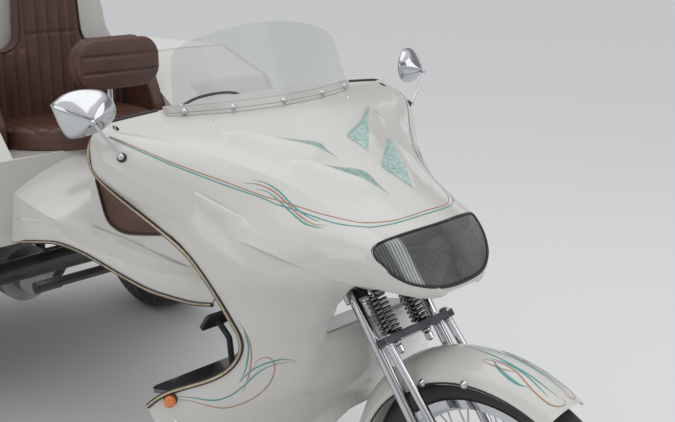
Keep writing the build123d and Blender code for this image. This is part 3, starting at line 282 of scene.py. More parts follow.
def vinyl_material(name, light, dark):
    """Dark brown grained vinyl, with painted shade in the grain's creases."""
    made = finish(name, light, dark, (0.3, 0.46), 9, 300, 0.0, 0.0003, Coat_Weight=0.12, Coat_Roughness=0.3)
    tree = made.node_tree
    shader = tree.nodes["Principled BSDF"]
    hide = tree.nodes.new("ShaderNodeGroup")
    hide.node_tree = vinyl_hide
    hide.inputs["Cell Scale"].default_value = 420
    base = shader.inputs["Base Color"].links[0].from_socket
    # Painted shade: the grain's creases are darkened in colour.
    factor = spread(tree, hide.outputs["Crease Shade"], 0.0, 1.0, 0.0, 0.45)
    colour = blend_colour(tree, factor, base, tuple(0.35 * part for part in dark) + (1,))
    tree.links.new(colour, shader.inputs["Base Color"])
    relief = tree.nodes.new("ShaderNodeBump")
    relief.inputs["Strength"].default_value = 0.35
    relief.inputs["Distance"].default_value = 0.0009
    tree.links.new(hide.outputs["Height"], relief.inputs["Height"])
    tree.links.new(relief.outputs["Normal"], shader.inputs["Normal"])
    return made


vinyl = vinyl_material("brown_seat_vinyl", (0.115, 0.047, 0.029), (0.070, 0.027, 0.017))
vinyl_dark = vinyl_material("seat_piping_vinyl", (0.03, 0.014, 0.01), (0.018, 0.009, 0.007))


def tyre_material(name, centre_y, grooves, groove_half):
    """Black rubber with grooves that run round the tread and a moulded side wall."""
    made = finish(name, (0.032, 0.032, 0.033), (0.018, 0.018, 0.018), (0.55, 0.78), 9, 260, 0.4, 0.0008, 0.45, 0.7)
    tree = made.node_tree
    shader = tree.nodes["Principled BSDF"]
    place = tree.nodes.new("ShaderNodeTexCoord").outputs["Object"]
    split = tree.nodes.new("ShaderNodeSeparateXYZ")
    tree.links.new(place, split.inputs[0])
    side = tree.nodes.new("ShaderNodeMath")
    side.operation = "ABSOLUTE"
    tree.links.new(split.outputs["Y"], side.inputs[0])
    last = None
    for groove in grooves:
        away = tree.nodes.new("ShaderNodeMath")
        away.operation = "SUBTRACT"
        tree.links.new(side.outputs[0], away.inputs[0])
        away.inputs[1].default_value = centre_y + groove
        far = tree.nodes.new("ShaderNodeMath")
        far.operation = "ABSOLUTE"
        tree.links.new(away.outputs[0], far.inputs[0])
        height = spread(tree, far.outputs[0], groove_half * 0.6, groove_half, 0.0, 1.0)
        if last is None:
            last = height
        else:
            both = tree.nodes.new("ShaderNodeMath")
            both.operation = "MINIMUM"
            tree.links.new(last, both.inputs[0])
            tree.links.new(height, both.inputs[1])
            last = both.outputs[0]
    relief = tree.nodes.new("ShaderNodeBump")
    relief.inputs["Strength"].default_value = 0.9
    relief.inputs["Distance"].default_value = 0.005
    tree.links.new(last, relief.inputs["Height"])
    fine = shader.inputs["Normal"].links[0].from_socket
    tree.links.new(fine, relief.inputs["Normal"])
    tree.links.new(relief.outputs["Normal"], shader.inputs["Normal"])
    return made


mirror_glass = finish("mirror_glass", (0.62, 0.64, 0.66), (0.58, 0.60, 0.62), (0.01, 0.03), 8, 60, 0.01, 0.0002,
                      Metallic=1.0)
gasket_black = finish("lamp_gasket", (0.012, 0.012, 0.013), (0.008, 0.008, 0.008), (0.3, 0.5), 30, 500, 0.2,
                      0.0004)

front_rubber = tyre_material("front_tyre_rubber", 0.0, (0.0, 0.012, 0.024), 0.0022)
rear_rubber = tyre_material("rear_tyre_rubber", 0.690, (-0.066, -0.033, 0.0, 0.033, 0.066), 0.005)


def glass_material(name, tint, rough, alpha):
    """Clear sheet that shows what is behind it."""
    made = finish(name, tint, tuple(0.9 * part for part in tint), rough, 6, 60, 0.02, 0.0003, Alpha=alpha,
                  Coat_Weight=1.0, Coat_Roughness=0.03)
    made.node_tree.nodes["Principled BSDF"].inputs["Specular IOR Level"].default_value = 0.6
    return made


screen_clear = glass_material("windshield_clear", (0.20, 0.24, 0.25), (0.04, 0.09), 0.11)


def lens_material(name, tint, alpha, pitch, axis="Y"):
    """Ribbed lamp glass."""
    made = glass_material(name, tint, (0.06, 0.14), alpha)
    tree = made.node_tree
    shader = tree.nodes["Principled BSDF"]
    place = tree.nodes.new("ShaderNodeTexCoord").outputs["Object"]
    ribs = tree.nodes.new("ShaderNodeTexWave")
    ribs.wave_type = "BANDS"
    ribs.bands_direction = axis
    ribs.inputs["Scale"].default_value = pitch
    tree.links.new(place, ribs.inputs["Vector"])
    relief = tree.nodes.new("ShaderNodeBump")
    relief.inputs["Strength"].default_value = 0.8
    relief.inputs["Distance"].default_value = 0.003
    tree.links.new(ribs.outputs["Fac"], relief.inputs["Height"])
    tree.links.new(relief.outputs["Normal"], shader.inputs["Normal"])
    return made




def head_glass_material():
    """Grey fluted lamp glass, with paler stripes that are a painted reflection of the lamp's reflector behind it."""
    made = finish("fluted_head_glass", (0.030, 0.033, 0.036), (0.018, 0.020, 0.022), (0.10, 0.18), 9, 60, 0.02, 0.0003,
                  Coat_Weight=0.3, Coat_Roughness=0.05)
    tree = made.node_tree
    shader = tree.nodes["Principled BSDF"]
    shader.inputs["Specular IOR Level"].default_value = 0.4
    place = tree.nodes.new("ShaderNodeTexCoord").outputs["Object"]
    ribs = tree.nodes.new("ShaderNodeTexWave")
    ribs.bands_direction = "Y"
    ribs.inputs["Scale"].default_value = 48
    ribs.inputs["Distortion"].default_value = 0.0
    tree.links.new(place, ribs.inputs["Vector"])
    split = tree.nodes.new("ShaderNodeSeparateXYZ")
    tree.links.new(place, split.inputs[0])
    tilt = tree.nodes.new("ShaderNodeMath")
    tilt.operation = "MULTIPLY_ADD"
    tree.links.new(split.outputs["Z"], tilt.inputs[0])
    tilt.inputs[1].default_value = 0.10
    tree.links.new(split.outputs["Y"], tilt.inputs[2])
    # Painted reflection: pale stripes across the glass stand in for light off the reflector behind it.
    painted_reflection_ramp = tree.nodes.new("ShaderNodeValToRGB")
    stops = painted_reflection_ramp.color_ramp.elements
    stops[0].position = 0.0
    stops[0].color = (0.10, 0.10, 0.10, 1)
    stops[1].position = 1.0
    stops[1].color = (0.12, 0.12, 0.12, 1)
    for spot, tone in ((0.090, 0.10), (0.115, 0.60), (0.185, 0.78), (0.205, 0.08), (0.40, 0.10), (0.50, 0.05),
                       (0.66, 0.14), (0.80, 0.08)):
        stop = stops.new(spot)
        stop.color = (tone, tone, tone, 1)
    along = spread(tree, tilt.outputs[0], -0.081, 0.265, 0.0, 1.0)
    tree.links.new(along, painted_reflection_ramp.inputs["Fac"])
    painted_reflection_streak = tree.nodes.new("ShaderNodeMath")
    painted_reflection_streak.operation = "MULTIPLY"
    tree.links.new(painted_reflection_ramp.outputs["Color"], painted_reflection_streak.inputs[0])
    tree.links.new(spread(tree, ribs.outputs["Fac"], 0.2, 0.8, 0.35, 1.0), painted_reflection_streak.inputs[1])
    base = shader.inputs["Base Color"].links[0].from_socket
    colour = blend_colour(tree, painted_reflection_streak.outputs[0], base, (0.62, 0.64, 0.64, 1))
    tree.links.new(colour, shader.inputs["Base Color"])
    relief = tree.nodes.new("ShaderNodeBump")
    relief.inputs["Strength"].default_value = 0.6
    relief.inputs["Distance"].default_value = 0.002
    tree.links.new(ribs.outputs["Fac"], relief.inputs["Height"])
    tree.links.new(relief.outputs["Normal"], shader.inputs["Normal"])
    return made


head_lens = head_glass_material()
amber_lens = lens_material("amber_ribbed_lens", (0.85, 0.20, 0.01), 0.97, 60, "Z")
red_lens = lens_material("red_ribbed_lens", (0.42, 0.008, 0.006), 0.97, 40, "Z")


# Finishes on the frame's own nodes

node_finishes = (
    (shell_paint, ("fairing_hood", "leg_shield", "screen_rim", "front_fender", "spine", "tub", "seat_shell",
                   "pod_right", "pod_left")),
    (chrome, ("mirrors", "fork_main", "fork_slim_legs", "fork_links", "front_axle", "front_rim", "handlebar", "bar_levers",
              "instrument", "backrest_post", "ledge_cap", "exhaust", "bumper")),
    (plated_dark, ("fork_springs",)),
    (dark_enamel, ("frame", "rear_axle", "passenger_pegs")),
    (cast_alloy, ("gearbox", "engine_case", "cylinder_banks")),
    (wheel_alloy, ("rear_rim_right", "rear_rim_left")),
    (grip_rubber, ("bar_grips", "foot_pedals")),
    (board_black, ("headlamp_bowl", "footboards")),
    (tin_black, ("fan_shroud",)),
    (front_rubber, ("front_tyre",)),
    (rear_rubber, ("rear_tyre_right", "rear_tyre_left")),
    (screen_clear, ("windshield",)),
    (head_lens, ("headlamp_lens",)),
    (amber_lens, ("turn_lamps",)),
    (red_lens, ("tail_lamps",)),
    (vinyl, ("driver_seat", "driver_backrest", "passenger_cushion", "passenger_backrest", "seat_wings")),
)
for made, names in node_finishes:
    for name in names:
        for place in nodes[name].material_slots:
            place.material = made


# Helpers for pieces

def piece(name, mesh, body, finish_used, smooth=True):
    """Object from a mesh, riding on a body."""
    made = bpy.data.objects.new(name, mesh)
    bpy.context.scene.collection.objects.link(made)
    if finish_used:
        mesh.materials.clear()
        mesh.materials.append(finish_used)
    for face in mesh.polygons:
        face.use_smooth = smooth
    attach(made, body)
    return made


def mesh_from(bm, name):
    mesh = bpy.data.meshes.new(name)
    bm.to_mesh(mesh)
    bm.free()
    return mesh


def shell_tree(*names):
    """Search tree over the skins of some nodes."""
    points = []
    faces = []
    for name in names:
        mesh = nodes[name].data
        start = len(points)
        points.extend(vertex.co.copy() for vertex in mesh.vertices)
        faces.extend([start + index for index in face.vertices] for face in mesh.polygons)
    return BVHTree.FromPolygons(points, faces)


def curve_through(points, steps):
    """Smooth run of places through a few given ones."""
    spots = [Vector(point) for point in points]
    ends = [spots[0] * 2 - spots[1]] + spots + [spots[-1] * 2 - spots[-2]]
    run = []
    for index in range(1, len(ends) - 2):
        before, first, second, after = ends[index - 1:index + 3]
        for step in range(steps):
            t = step / steps
            run.append(0.5 * ((2 * first) + (second - before) * t
                              + (2 * before - 5 * first + 4 * second - after) * t * t
                              + (3 * first - before - 3 * second + after) * t ** 3))
    run.append(spots[-1])
    return run


def drop_on(tree, spot, way):
    """Where a line through a place, run along a direction, first meets the skin."""
    way = Vector(way).normalized()
    place, normal, index, length = tree.ray_cast(spot - way * 1.2, way)
    if place is None:
        place, normal, index, length = tree.find_nearest(spot)
    if normal.dot(way) > 0:
        normal = -normal
    return place, normal


def settle(tree, spot):
    """Nearest place on the skin, and the way out of it."""
    place, normal, index, length = tree.find_nearest(spot)
    return place, normal


def painted_line(name, tree, points, width, paint, body="chassis", steps=8, lift=0.0005, blunt=False):
    """Brush line that lies on the skin and thins out at both ends."""
    run = [settle(tree, spot) for spot in curve_through(points, steps)]
    bm = bmesh.new()
    rows = []
    for index, (place, normal) in enumerate(run):
        along = run[min(index + 1, len(run) - 1)][0] - run[max(index - 1, 0)][0]
        if along.length < 1e-6:
            continue
        across = normal.cross(along).normalized()
        share = index / (len(run) - 1)
        half = width / 2 * (1 if blunt else max(0.12, min(1, 3.2 * share, 3.2 * (1 - share))))
        rows.append([bm.verts.new(place + normal * lift + across * side * half) for side in (-1, 1)])
    for first, second in zip(rows, rows[1:]):
        bm.faces.new((first[0], second[0], second[1], first[1]))
    bmesh.ops.recalc_face_normals(bm, faces=bm.faces)
    if bm.faces and sum((face.normal.dot(run[0][1]) for face in list(bm.faces)[:4])) < 0:
        bmesh.ops.reverse_faces(bm, faces=bm.faces)
    bmesh.ops.solidify(bm, geom=bm.faces[:], thickness=0.0003)
    return piece(name, mesh_from(bm, name), body, paint)


def tube_along(name, run, radius, body, finish_used, sides=4, close=False):
    """Round strip through places that already follow the surface."""
    data = bpy.data.curves.new(name, "CURVE")
    data.dimensions = "3D"
    data.bevel_depth = radius
    data.bevel_resolution = sides
    data.use_fill_caps = True
    strand = data.splines.new("POLY")
    strand.points.add(len(run) - 1)
    for point, spot in zip(strand.points, run):
        point.co = (*spot, 1)
    strand.use_cyclic_u = close
    data.materials.append(finish_used)
    made = bpy.data.objects.new(name, data)
    bpy.context.scene.collection.objects.link(made)
    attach(made, body)
    return made


def turned(name, outline, centre, axis, body, finish_used, steps=32):
    """Piece spun from an outline of radius and height along an axis."""
    bm = bmesh.new()
    chain = [bm.verts.new((radius, 0, height)) for radius, height in outline]
    edges = [bm.edges.new(pair) for pair in zip(chain, chain[1:])]
    bmesh.ops.spin(bm, geom=chain + edges, cent=(0, 0, 0), axis=(0, 0, 1), angle=2 * pi, steps=steps,
                   use_merge=True, use_duplicate=False)
    bmesh.ops.remove_doubles(bm, verts=bm.verts[:], dist=1e-6)
    bmesh.ops.recalc_face_normals(bm, faces=bm.faces)
    swing = Vector((0, 0, 1)).rotation_difference(Vector(axis)).to_matrix().to_4x4()
    bmesh.ops.transform(bm, matrix=Matrix.Translation(centre) @ swing, verts=bm.verts)
    return piece(name, mesh_from(bm, name), body, finish_used)


def dome_outline(radius, height):
    """Outline of a screw or stud head with a washer under it."""
    return ((0, -0.002), (radius, -0.002), (radius, height * 0.25), (radius * 0.78, height * 0.3),
            (radius * 0.72, height * 0.75), (radius * 0.45, height * 0.97), (0, height))


def stud(name, place, axis, radius, height, body="chassis", finish_used=None):
    return turned(name, dome_outline(radius, height), Vector(place), Vector(axis), body,
                  finish_used or chrome, 20)


# Padded pieces

def remeshed(name, size):
    """Copy of a node's solid as an even skin of small faces."""
    source = bmesh.new()
    source.from_mesh(nodes[name].data)
    bmesh.ops.remove_doubles(source, verts=source.verts[:], dist=1e-5)
    mesh = mesh_from(source, name + "_pad")
    made = bpy.data.objects.new(name + "_pad", mesh)
    bpy.context.scene.collection.objects.link(made)
    even = made.modifiers.new("even", "REMESH")
    even.mode = "VOXEL"
    even.voxel_size = size
    bpy.context.view_layer.update()
    done = bpy.data.meshes.new_from_object(made.evaluated_get(bpy.context.evaluated_depsgraph_get()))
    bpy.data.objects.remove(made)
    return done


def pad(name, size, rounding, shape):
    """Padded piece in place of a node: rounded, then pushed by a shape of place and normal."""
    bm = bmesh.new()
    bm.from_mesh(remeshed(name, size))
    for turn in range(rounding):
        bmesh.ops.smooth_vert(bm, verts=bm.verts[:], factor=0.5, use_axis_x=True, use_axis_y=True,
                              use_axis_z=True)
    bm.normal_update()
    moves = [(vertex, vertex.normal * shape(vertex.co, vertex.normal)) for vertex in bm.verts]
    for vertex, move in moves:
        vertex.co += move
    mesh = mesh_from(bm, name + "_vinyl")
    made = piece(name + "_vinyl", mesh, "chassis", vinyl)
    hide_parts(name)
    return made


def channel(distance, width):
    """How deep a sewn channel pulls in at a distance from its seam."""
    share = abs(distance) / width
    return -(1 - share) ** 2 if share < 1 else 0.0


def nearest_seam(value, pitch):
    return (value + pitch / 2) % pitch - pitch / 2


def back_shape(place, normal):
    """Passenger's back: upright channels, one seam across the neck, plain borders."""
    if normal.x < 0.35:
        return 0.0
    half = 0.258 if place.z < 1.205 else 0.104
    edge = half - abs(place.y)
    crown = 0.006 * min(1, max(0, edge) / 0.05)
    if edge < 0.018 or place.z > 1.445:
        return crown
    dip = 0.013 * channel(nearest_seam(place.y, 0.040), 0.017) * min(1, (edge - 0.018) / 0.01)
    dip += 0.006 * channel(place.z - 1.256, 0.006)
    dip += 0.006 * channel(edge - 0.020, 0.006)
    return crown + dip


def seat_cushion_shape(place, normal):
    """Passenger's seat: channels that run from back to front and a boxed front edge."""
    if normal.z > 0.35:
        edge = 0.258 - abs(place.y)
        crown = 0.008 * min(1, max(0, edge) / 0.06)
        return crown + 0.010 * channel(nearest_seam(place.y, 0.040), 0.016) * min(1, max(0, edge - 0.01) / 0.02)
    if normal.x > 0.3:
        return 0.004 + 0.005 * channel(place.z - 0.985, 0.005) + 0.005 * channel(place.z - 0.958, 0.005)
    return 0.0


def wing_shape(place, normal):
    """Side bolster beside the passenger."""
    return 0.003 + 0.004 * channel(nearest_seam(place.z - 0.96, 0.09), 0.006) * (abs(normal.y) > 0.6)


def driver_back_shape(place, normal):
    """Oval pad with two seams across."""
    if abs(normal.x) < 0.3:
        return -0.006
    reach = max(0, 1 - (place.y / 0.135) ** 2) * max(0, 1 - ((place.z - 1.197) / 0.0715) ** 2)
    swell = 0.016 * reach ** 0.5 if normal.x > 0 else 0.004
    if normal.x > 0:
        for seam in (1.174, 1.221):
            swell += 0.008 * channel(place.z - seam, 0.008) * min(1, (0.128 - abs(place.y)) / 0.02)
    return swell


def driver_seat_shape(place, normal):
    """Rider's seat: ribs across it, a raised back and a plain rolled border."""
    edge = 0.200 - abs(place.y)
    if normal.z > 0.3 or (normal.x > 0.3 and place.x < 0.3):
        crown = 0.008 * min(1, max(0, edge) / 0.05)
        if edge < 0.03:
            return crown
        return crown + 0.008 * channel(nearest_seam(place.x - place.z * 0.6, 0.038), 0.012)
    return 0.003


passenger_back_pad = pad("passenger_backrest", 0.0055, 3, back_shape)
passenger_seat_pad = pad("passenger_cushion", 0.0055, 2, seat_cushion_shape)
wing_pads = pad("seat_wings", 0.0055, 2, wing_shape)
driver_back_pad = pad("driver_backrest", 0.004, 3, driver_back_shape)
driver_seat_pad = pad("driver_seat", 0.005, 3, driver_seat_shape)


def mirrored(points):
    """Outline closed by its mirror image across the middle."""
    return points + [(-y, z) for y, z in reversed(points)]


def piped_outline(name, points, place_of, radius=0.0035, steps=6, close=True):
    """Piping sewn round the edge of a pad."""
    run = curve_through([place_of(*point) for point in points], steps)
    tube = tube_along(name, run, radius, "chassis", vinyl_dark, 3, close)
    return tube


back_half = [(0.252, 0.946), (0.254, 1.08), (0.254, 1.19), (0.246, 1.203), (0.165, 1.207), (0.128, 1.221),
             (0.106, 1.262), (0.094, 1.43), (0.060, 1.456), (0.0, 1.466)]
front_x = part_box("passenger_backrest")[1].x
piped_outline("passenger_back_piping", mirrored(back_half[:-1] + [(0.0001, 1.466)]),
              lambda y, z: (front_x + 0.001, y, z), close=False)
oval = []
for step in range(28):
    swing = 2 * pi * step / 28
    side = 1 if cos(swing) > 0 else -1
    oval.append((side * 0.060 + 0.060 * cos(swing), 1.197 + 0.060 * sin(swing)))
pad_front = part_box("driver_backrest")[1].x
piped_outline("driver_back_piping", oval + [oval[0]], lambda y, z: (pad_front + 0.0005, y, z), close=True, steps=2)


# Moulded white pan that wraps the lower part of the rider's seat, piped along its lip

pan_line = ((0.100, 0.960), (0.165, 0.915), (0.184, 0.862), (0.204, 0.817), (0.231, 0.798), (0.290, 0.791),
            (0.377, 0.806), (0.491, 0.8325), (0.620, 0.850))


def pan_height(x):
    """Height of the pan's lip along the seat."""
    if x <= pan_line[0][0]:
        return pan_line[0][1]
    for (first_x, first_z), (second_x, second_z) in zip(pan_line, pan_line[1:]):
        if x <= second_x:
            return first_z + (second_z - first_z) * (x - first_x) / (second_x - first_x)
    return pan_line[-1][1]


bm = bmesh.new()
bm.from_mesh(driver_seat_pad.data)
bm.normal_update()
spare = [face for face in bm.faces
         if face.calc_center_median().z > pan_height(face.calc_center_median().x) or face.normal.z > 0.6]
bmesh.ops.delete(bm, geom=spare, context="FACES")
for vertex in bm.verts:
    if vertex.is_boundary and abs(vertex.co.z - pan_height(vertex.co.x)) < 0.009:
        vertex.co.z = pan_height(vertex.co.x)
bm.normal_update()
for vertex, way in [(vertex, vertex.normal.copy()) for vertex in bm.verts]:
    vertex.co += way * 0.004
bmesh.ops.solidify(bm, geom=bm.faces[:], thickness=0.003)
piece("rider_seat_pan", mesh_from(bm, "rider_seat_pan"), "chassis", shell_paint)
seat_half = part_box("driver_seat")[1].y
for hand, side in (("right", -1), ("left", 1)):
    lip = curve_through([(x, side * (seat_half + 0.006), z + 0.002) for x, z in pan_line[1:-1]], 6)
    tube_along(f"seat_pan_piping_{hand}", lip, 0.0032, "chassis", vinyl_dark, 3)


# Painted lines

hood_skin = shell_tree("fairing_hood")
front_skin = shell_tree("fairing_hood", "leg_shield")
shield_skin = shell_tree("leg_shield")
fender_skin = shell_tree("front_fender")
down = (0, 0, -1)


def both_sides(points, side):
    return [(x, side * y, z) for x, y, z in points]


hood_lines = (
    ("copper", stripe_copper, 0.0024, True,
     ((0.664, 0.453, 1.149), (0.716, 0.430, 1.133), (0.768, 0.388, 1.106), (0.817, 0.338, 1.078),
      (0.864, 0.296, 1.056), (0.919, 0.256, 1.033), (0.981, 0.216, 1.015), (1.035, 0.187, 1.001),
      (1.089, 0.157, 0.992), (1.118, 0.133, 0.990), (1.145, 0.092, 0.990), (1.157, 0.048, 0.993),
      (1.160, 0.0, 0.995))),
    ("teal", stripe_teal, 0.0027, True,
     ((0.664, 0.455, 1.147), (0.719, 0.432, 1.130), (0.770, 0.390, 1.102), (0.819, 0.340, 1.073),
      (0.866, 0.299, 1.050), (0.921, 0.258, 1.029), (0.954, 0.240, 1.016), (0.996, 0.216, 1.006),
      (1.045, 0.193, 0.993), (1.085, 0.173, 0.986), (1.124, 0.142, 0.984), (1.150, 0.099, 0.986),
      (1.163, 0.052, 0.989), (1.167, 0.0, 0.990))),
    ("outer_teal", stripe_teal, 0.0036, False,
     ((0.896, 0.254, 1.061), (0.915, 0.239, 1.056), (0.943, 0.225, 1.040), (0.972, 0.219, 1.019),
      (0.997, 0.214, 1.004), (1.029, 0.204, 0.991), (1.041, 0.198, 0.989))),
    ("middle_copper", stripe_copper, 0.0036, False,
     ((0.884, 0.272, 1.055), (0.905, 0.252, 1.053), (0.934, 0.234, 1.041), (0.970, 0.224, 1.017),
      (1.002, 0.219, 0.997), (1.033, 0.210, 0.984), (1.059, 0.194, 0.983))),
    ("inner_teal", stripe_teal, 0.0036, False,
     ((0.908, 0.257, 1.045), (0.928, 0.242, 1.038), (0.956, 0.233, 1.021), (0.987, 0.227, 1.001),
      (1.018, 0.220, 0.984), (1.043, 0.209, 0.979), (1.055, 0.201, 0.979))),
)
for hand, side in (("right", -1), ("left", 1)):
    for label, paint, width, blunt, points in hood_lines:
        painted_line(f"hood_line_{label}_{hand}", hood_skin, both_sides(points, side), width, paint, blunt=blunt)

# Gills: tail, tip, then the inner edge's middle and corner
gills = (
    ((0.764, 0.238), (0.945, 0.049), (0.833, 0.132), (0.874, 0.050), 0.017),
    ((0.897, 0.160), (1.091, 0.038), (0.962, 0.083), (1.004, 0.030), 0.015),
)


def on_hood(x, y, rise=0.0):
    place, normal = drop_on(hood_skin, Vector((x, y, 1.3)), down)
    return place + normal * rise


def gill(name, side, tail, tip, inner_mid, inner_corner, height):
    """Flake face that leans inward, its raised outer lip, and the skin that falls away behind the lip."""
    tail, tip = Vector(tail), Vector(tip)
    along = tip - tail
    out = Vector((-along.y, along.x)).normalized()
    if out.y < 0:
        out.negate()
    steps = 26
    inner = curve_through([(*tail, 0), (*inner_mid, 0), (*inner_corner, 0),
                           (*(Vector(inner_corner).lerp(tip, 0.55)), 0), (*tip, 0)], steps)
    inner = [inner[round(index * (len(inner) - 1) / steps)] for index in range(steps + 1)]
    face = bmesh.new()
    fall = bmesh.new()
    face_rows, fall_rows = [], []
    for index, low in enumerate(inner):
        share = index / steps
        spot = tail.lerp(tip, share) + out * (-0.006 * sin(pi * share))
        rise = min(height, 0.42 * (spot - Vector(low[:2])).length)
        lip = on_hood(spot.x, side * spot.y, 0.0006 + rise)
        foot = on_hood(low.x, side * low.y, 0.0006)
        face_rows.append([face.verts.new(foot.lerp(lip, step / 6)) for step in range(7)])
        reach = 0.075 * sin(pi * share) ** 0.5 if 0 < share < 1 else 0.0
        row = []
        for step in range(10):
            t = step / 9
            away = spot + out * (reach * t)
            row.append(fall.verts.new(on_hood(away.x, side * away.y,
                                              0.0006 * (1 - t) + rise * (0.5 + 0.5 * cos(pi * t)))))
        fall_rows.append(row)
    for bm, rows in ((face, face_rows), (fall, fall_rows)):
        for first, second in zip(rows, rows[1:]):
            for step in range(len(first) - 1):
                bm.faces.new((first[step], second[step], second[step + 1], first[step + 1]))
        bmesh.ops.remove_doubles(bm, verts=bm.verts[:], dist=2e-5)
        bmesh.ops.dissolve_degenerate(bm, dist=1e-6, edges=bm.edges[:])
        bmesh.ops.recalc_face_normals(bm, faces=bm.faces)
        if sum(part.normal.z for part in bm.faces) < 0:
            bmesh.ops.reverse_faces(bm, faces=bm.faces)
    piece(f"{name}_flake", mesh_from(face, f"{name}_flake"), "chassis", teal_flake)
    piece(f"{name}_lip", mesh_from(fall, f"{name}_lip"), "chassis", shell_paint)


for hand, side in (("right", -1), ("left", 1)):
    for number, shape in enumerate(gills):
        gill(f"hood_gill_{number}_{hand}", side, *shape)


# Smooth skin of the leg shield, blended up into the hood's foot

def edge_at(z):
    """How far forward the fairing's rear edge is at a height."""
    for (first_x, first_z), (second_x, second_z) in zip(edge_line, edge_line[1:]):
        if second_z <= z <= first_z:
            return first_x + (second_x - first_x) * (first_z - z) / max(1e-6, first_z - second_z)
    return 0.8


edge_points = ((0.606, 1.210), (0.628, 1.110), (0.636, 1.050), (0.652, 1.015), (0.678, 0.992), (0.710, 0.978),
               (0.752, 0.960), (0.792, 0.940), (0.818, 0.918), (0.840, 0.888), (0.869, 0.846), (0.903, 0.772),
               (0.920, 0.728), (0.921, 0.693), (0.908, 0.655), (0.880, 0.628), (0.840, 0.616), (0.812, 0.600),
               (0.790, 0.572))
edge_line = [(spot.x, spot.z) for spot in curve_through([(x, 0, z) for x, z in edge_points], 12)]
edge_line.append((0.860, 0.300))
skin_axis = 0.60
skin_low, skin_columns, skin_rows = 0.332, 236, 118


def skin_top(swing):
    """Height of the skin's upper edge, a little above the hood's foot."""
    share = min(1, max(0, (abs(swing) - 18) / 68))
    return 0.905 + 0.235 * share


def outward_reach(x, z, way):
    place, normal, index, length = front_skin.ray_cast(Vector((x, 0, z)) + way * 1.1, -way)
    return 1.1 - length if place else None


def carried_on(first, second, way):
    """Where the line through two places of a row meets another direction from the axis."""
    run = second - first
    apart = run.x * way.y - run.y * way.x
    if abs(apart) < 1e-6:
        return None
    return (run.x * (first.y) - run.y * first.x) / apart


middle_column = skin_columns // 2
swings = [radians(-96 + 192 * column / skin_columns) for column in range(skin_columns + 1)]
heights = [[skin_low + (skin_top(swing * 180 / pi) - skin_low) * row / skin_rows for row in range(skin_rows + 1)]
           for swing in swings]
reach_table = [[outward_reach(skin_axis, z, Vector((cos(swing), sin(swing), 0))) for z in column_heights]
               for swing, column_heights in zip(swings, heights)]
for row in range(skin_rows + 1):
    for step in (1, -1):
        known = []
        column = middle_column
        while 0 <= column <= skin_columns:
            reach = reach_table[column][row]
            way = Vector((cos(swings[column]), sin(swings[column])))
            if reach is None or reach < 0.15:
                reach = None
                if len(known) > 8:
                    reach = carried_on(known[-8], known[-1], way)
                if reach is None or not 0.1 < reach < 0.56:
                    reach = known[-1].length if known else 0.4
                reach_table[column][row] = reach
                known.append(way * reach)
                column += step
                continue
            known.append(way * reach)
            column += step
for column, filled in enumerate(reach_table):
    soft = filled[:]
    for turn in range(26):
        soft = [soft[0]] + [(soft[row - 1] + 2 * soft[row] + soft[row + 1]) / 4
                            for row in range(1, skin_rows)] + [soft[-1]]
    reach_table[column] = [filled[row] * (1 - min(1, (skin_rows - row) / 7)) + soft[row] * min(1, (skin_rows - row) / 7)
                           + 0.0007 - 0.0025 * max(0, 1 - (skin_rows - row) / 3) for row in range(skin_rows + 1)]
sheet = [[Vector((skin_axis + reach * cos(swing), reach * sin(swing), z)) for reach, z in zip(mixed, column_heights)]
         for swing, mixed, column_heights in zip(swings, reach_table, heights)]


def grid_tree(columns):
    points = [spot for column in columns for spot in column]
    rows = len(columns[0])
    quads = [(c * rows + r, (c + 1) * rows + r, (c + 1) * rows + r + 1, c * rows + r + 1)
             for c in range(len(columns) - 1) for r in range(rows - 1)]
    return BVHTree.FromPolygons(points, quads)


smooth_skin = grid_tree(sheet)


def open_half(spot):
    """Half width of the fork well or of the wheel arch at the height of a place on the middle line."""
    rise = (spot - Vector((0.975, 0, 0.792))).dot(Vector((-0.613, 0, 0.790)))
    if rise > -0.1:
        return 0.152
    if spot.z < 0.478:
        return 0.15 * (1 - ((spot.z - 0.33) / 0.15) ** 2) ** 0.5
    return 0.0


rear_edges = {1: [], -1: []}
open_rows = []
for row in range(skin_rows + 1):
    half = open_half(sheet[middle_column][row])
    open_rows.append(half > 0)
    for step in (1, -1):
        column = middle_column
        while 0 < column < skin_columns and abs(sheet[column][row].y) < half:
            column += step
        if half > 0:
            inner, outer = sheet[column - step][row], sheet[column][row]
            share = (half - abs(inner.y)) / max(1e-6, abs(outer.y) - abs(inner.y))
            border = inner.lerp(outer, min(1, max(0, share)))
            back = column - step
            while (back - middle_column) * step >= (0 if step == -1 else 1):
                sheet[back][row] = border.copy()
                back -= step
        while 0 <= column <= skin_columns and sheet[column][row].x >= edge_at(sheet[column][row].z):
            column += step
        if 0 <= column <= skin_columns:
            inner, outer = sheet[column - step][row], sheet[column][row]
            ahead, behind = inner.x - edge_at(inner.z), edge_at(outer.z) - outer.x
            border = inner.lerp(outer, ahead / max(1e-6, ahead + behind))
            rear_edges[step].append(border)
            while 0 <= column <= skin_columns:
                sheet[column][row] = border.copy()
                column += step

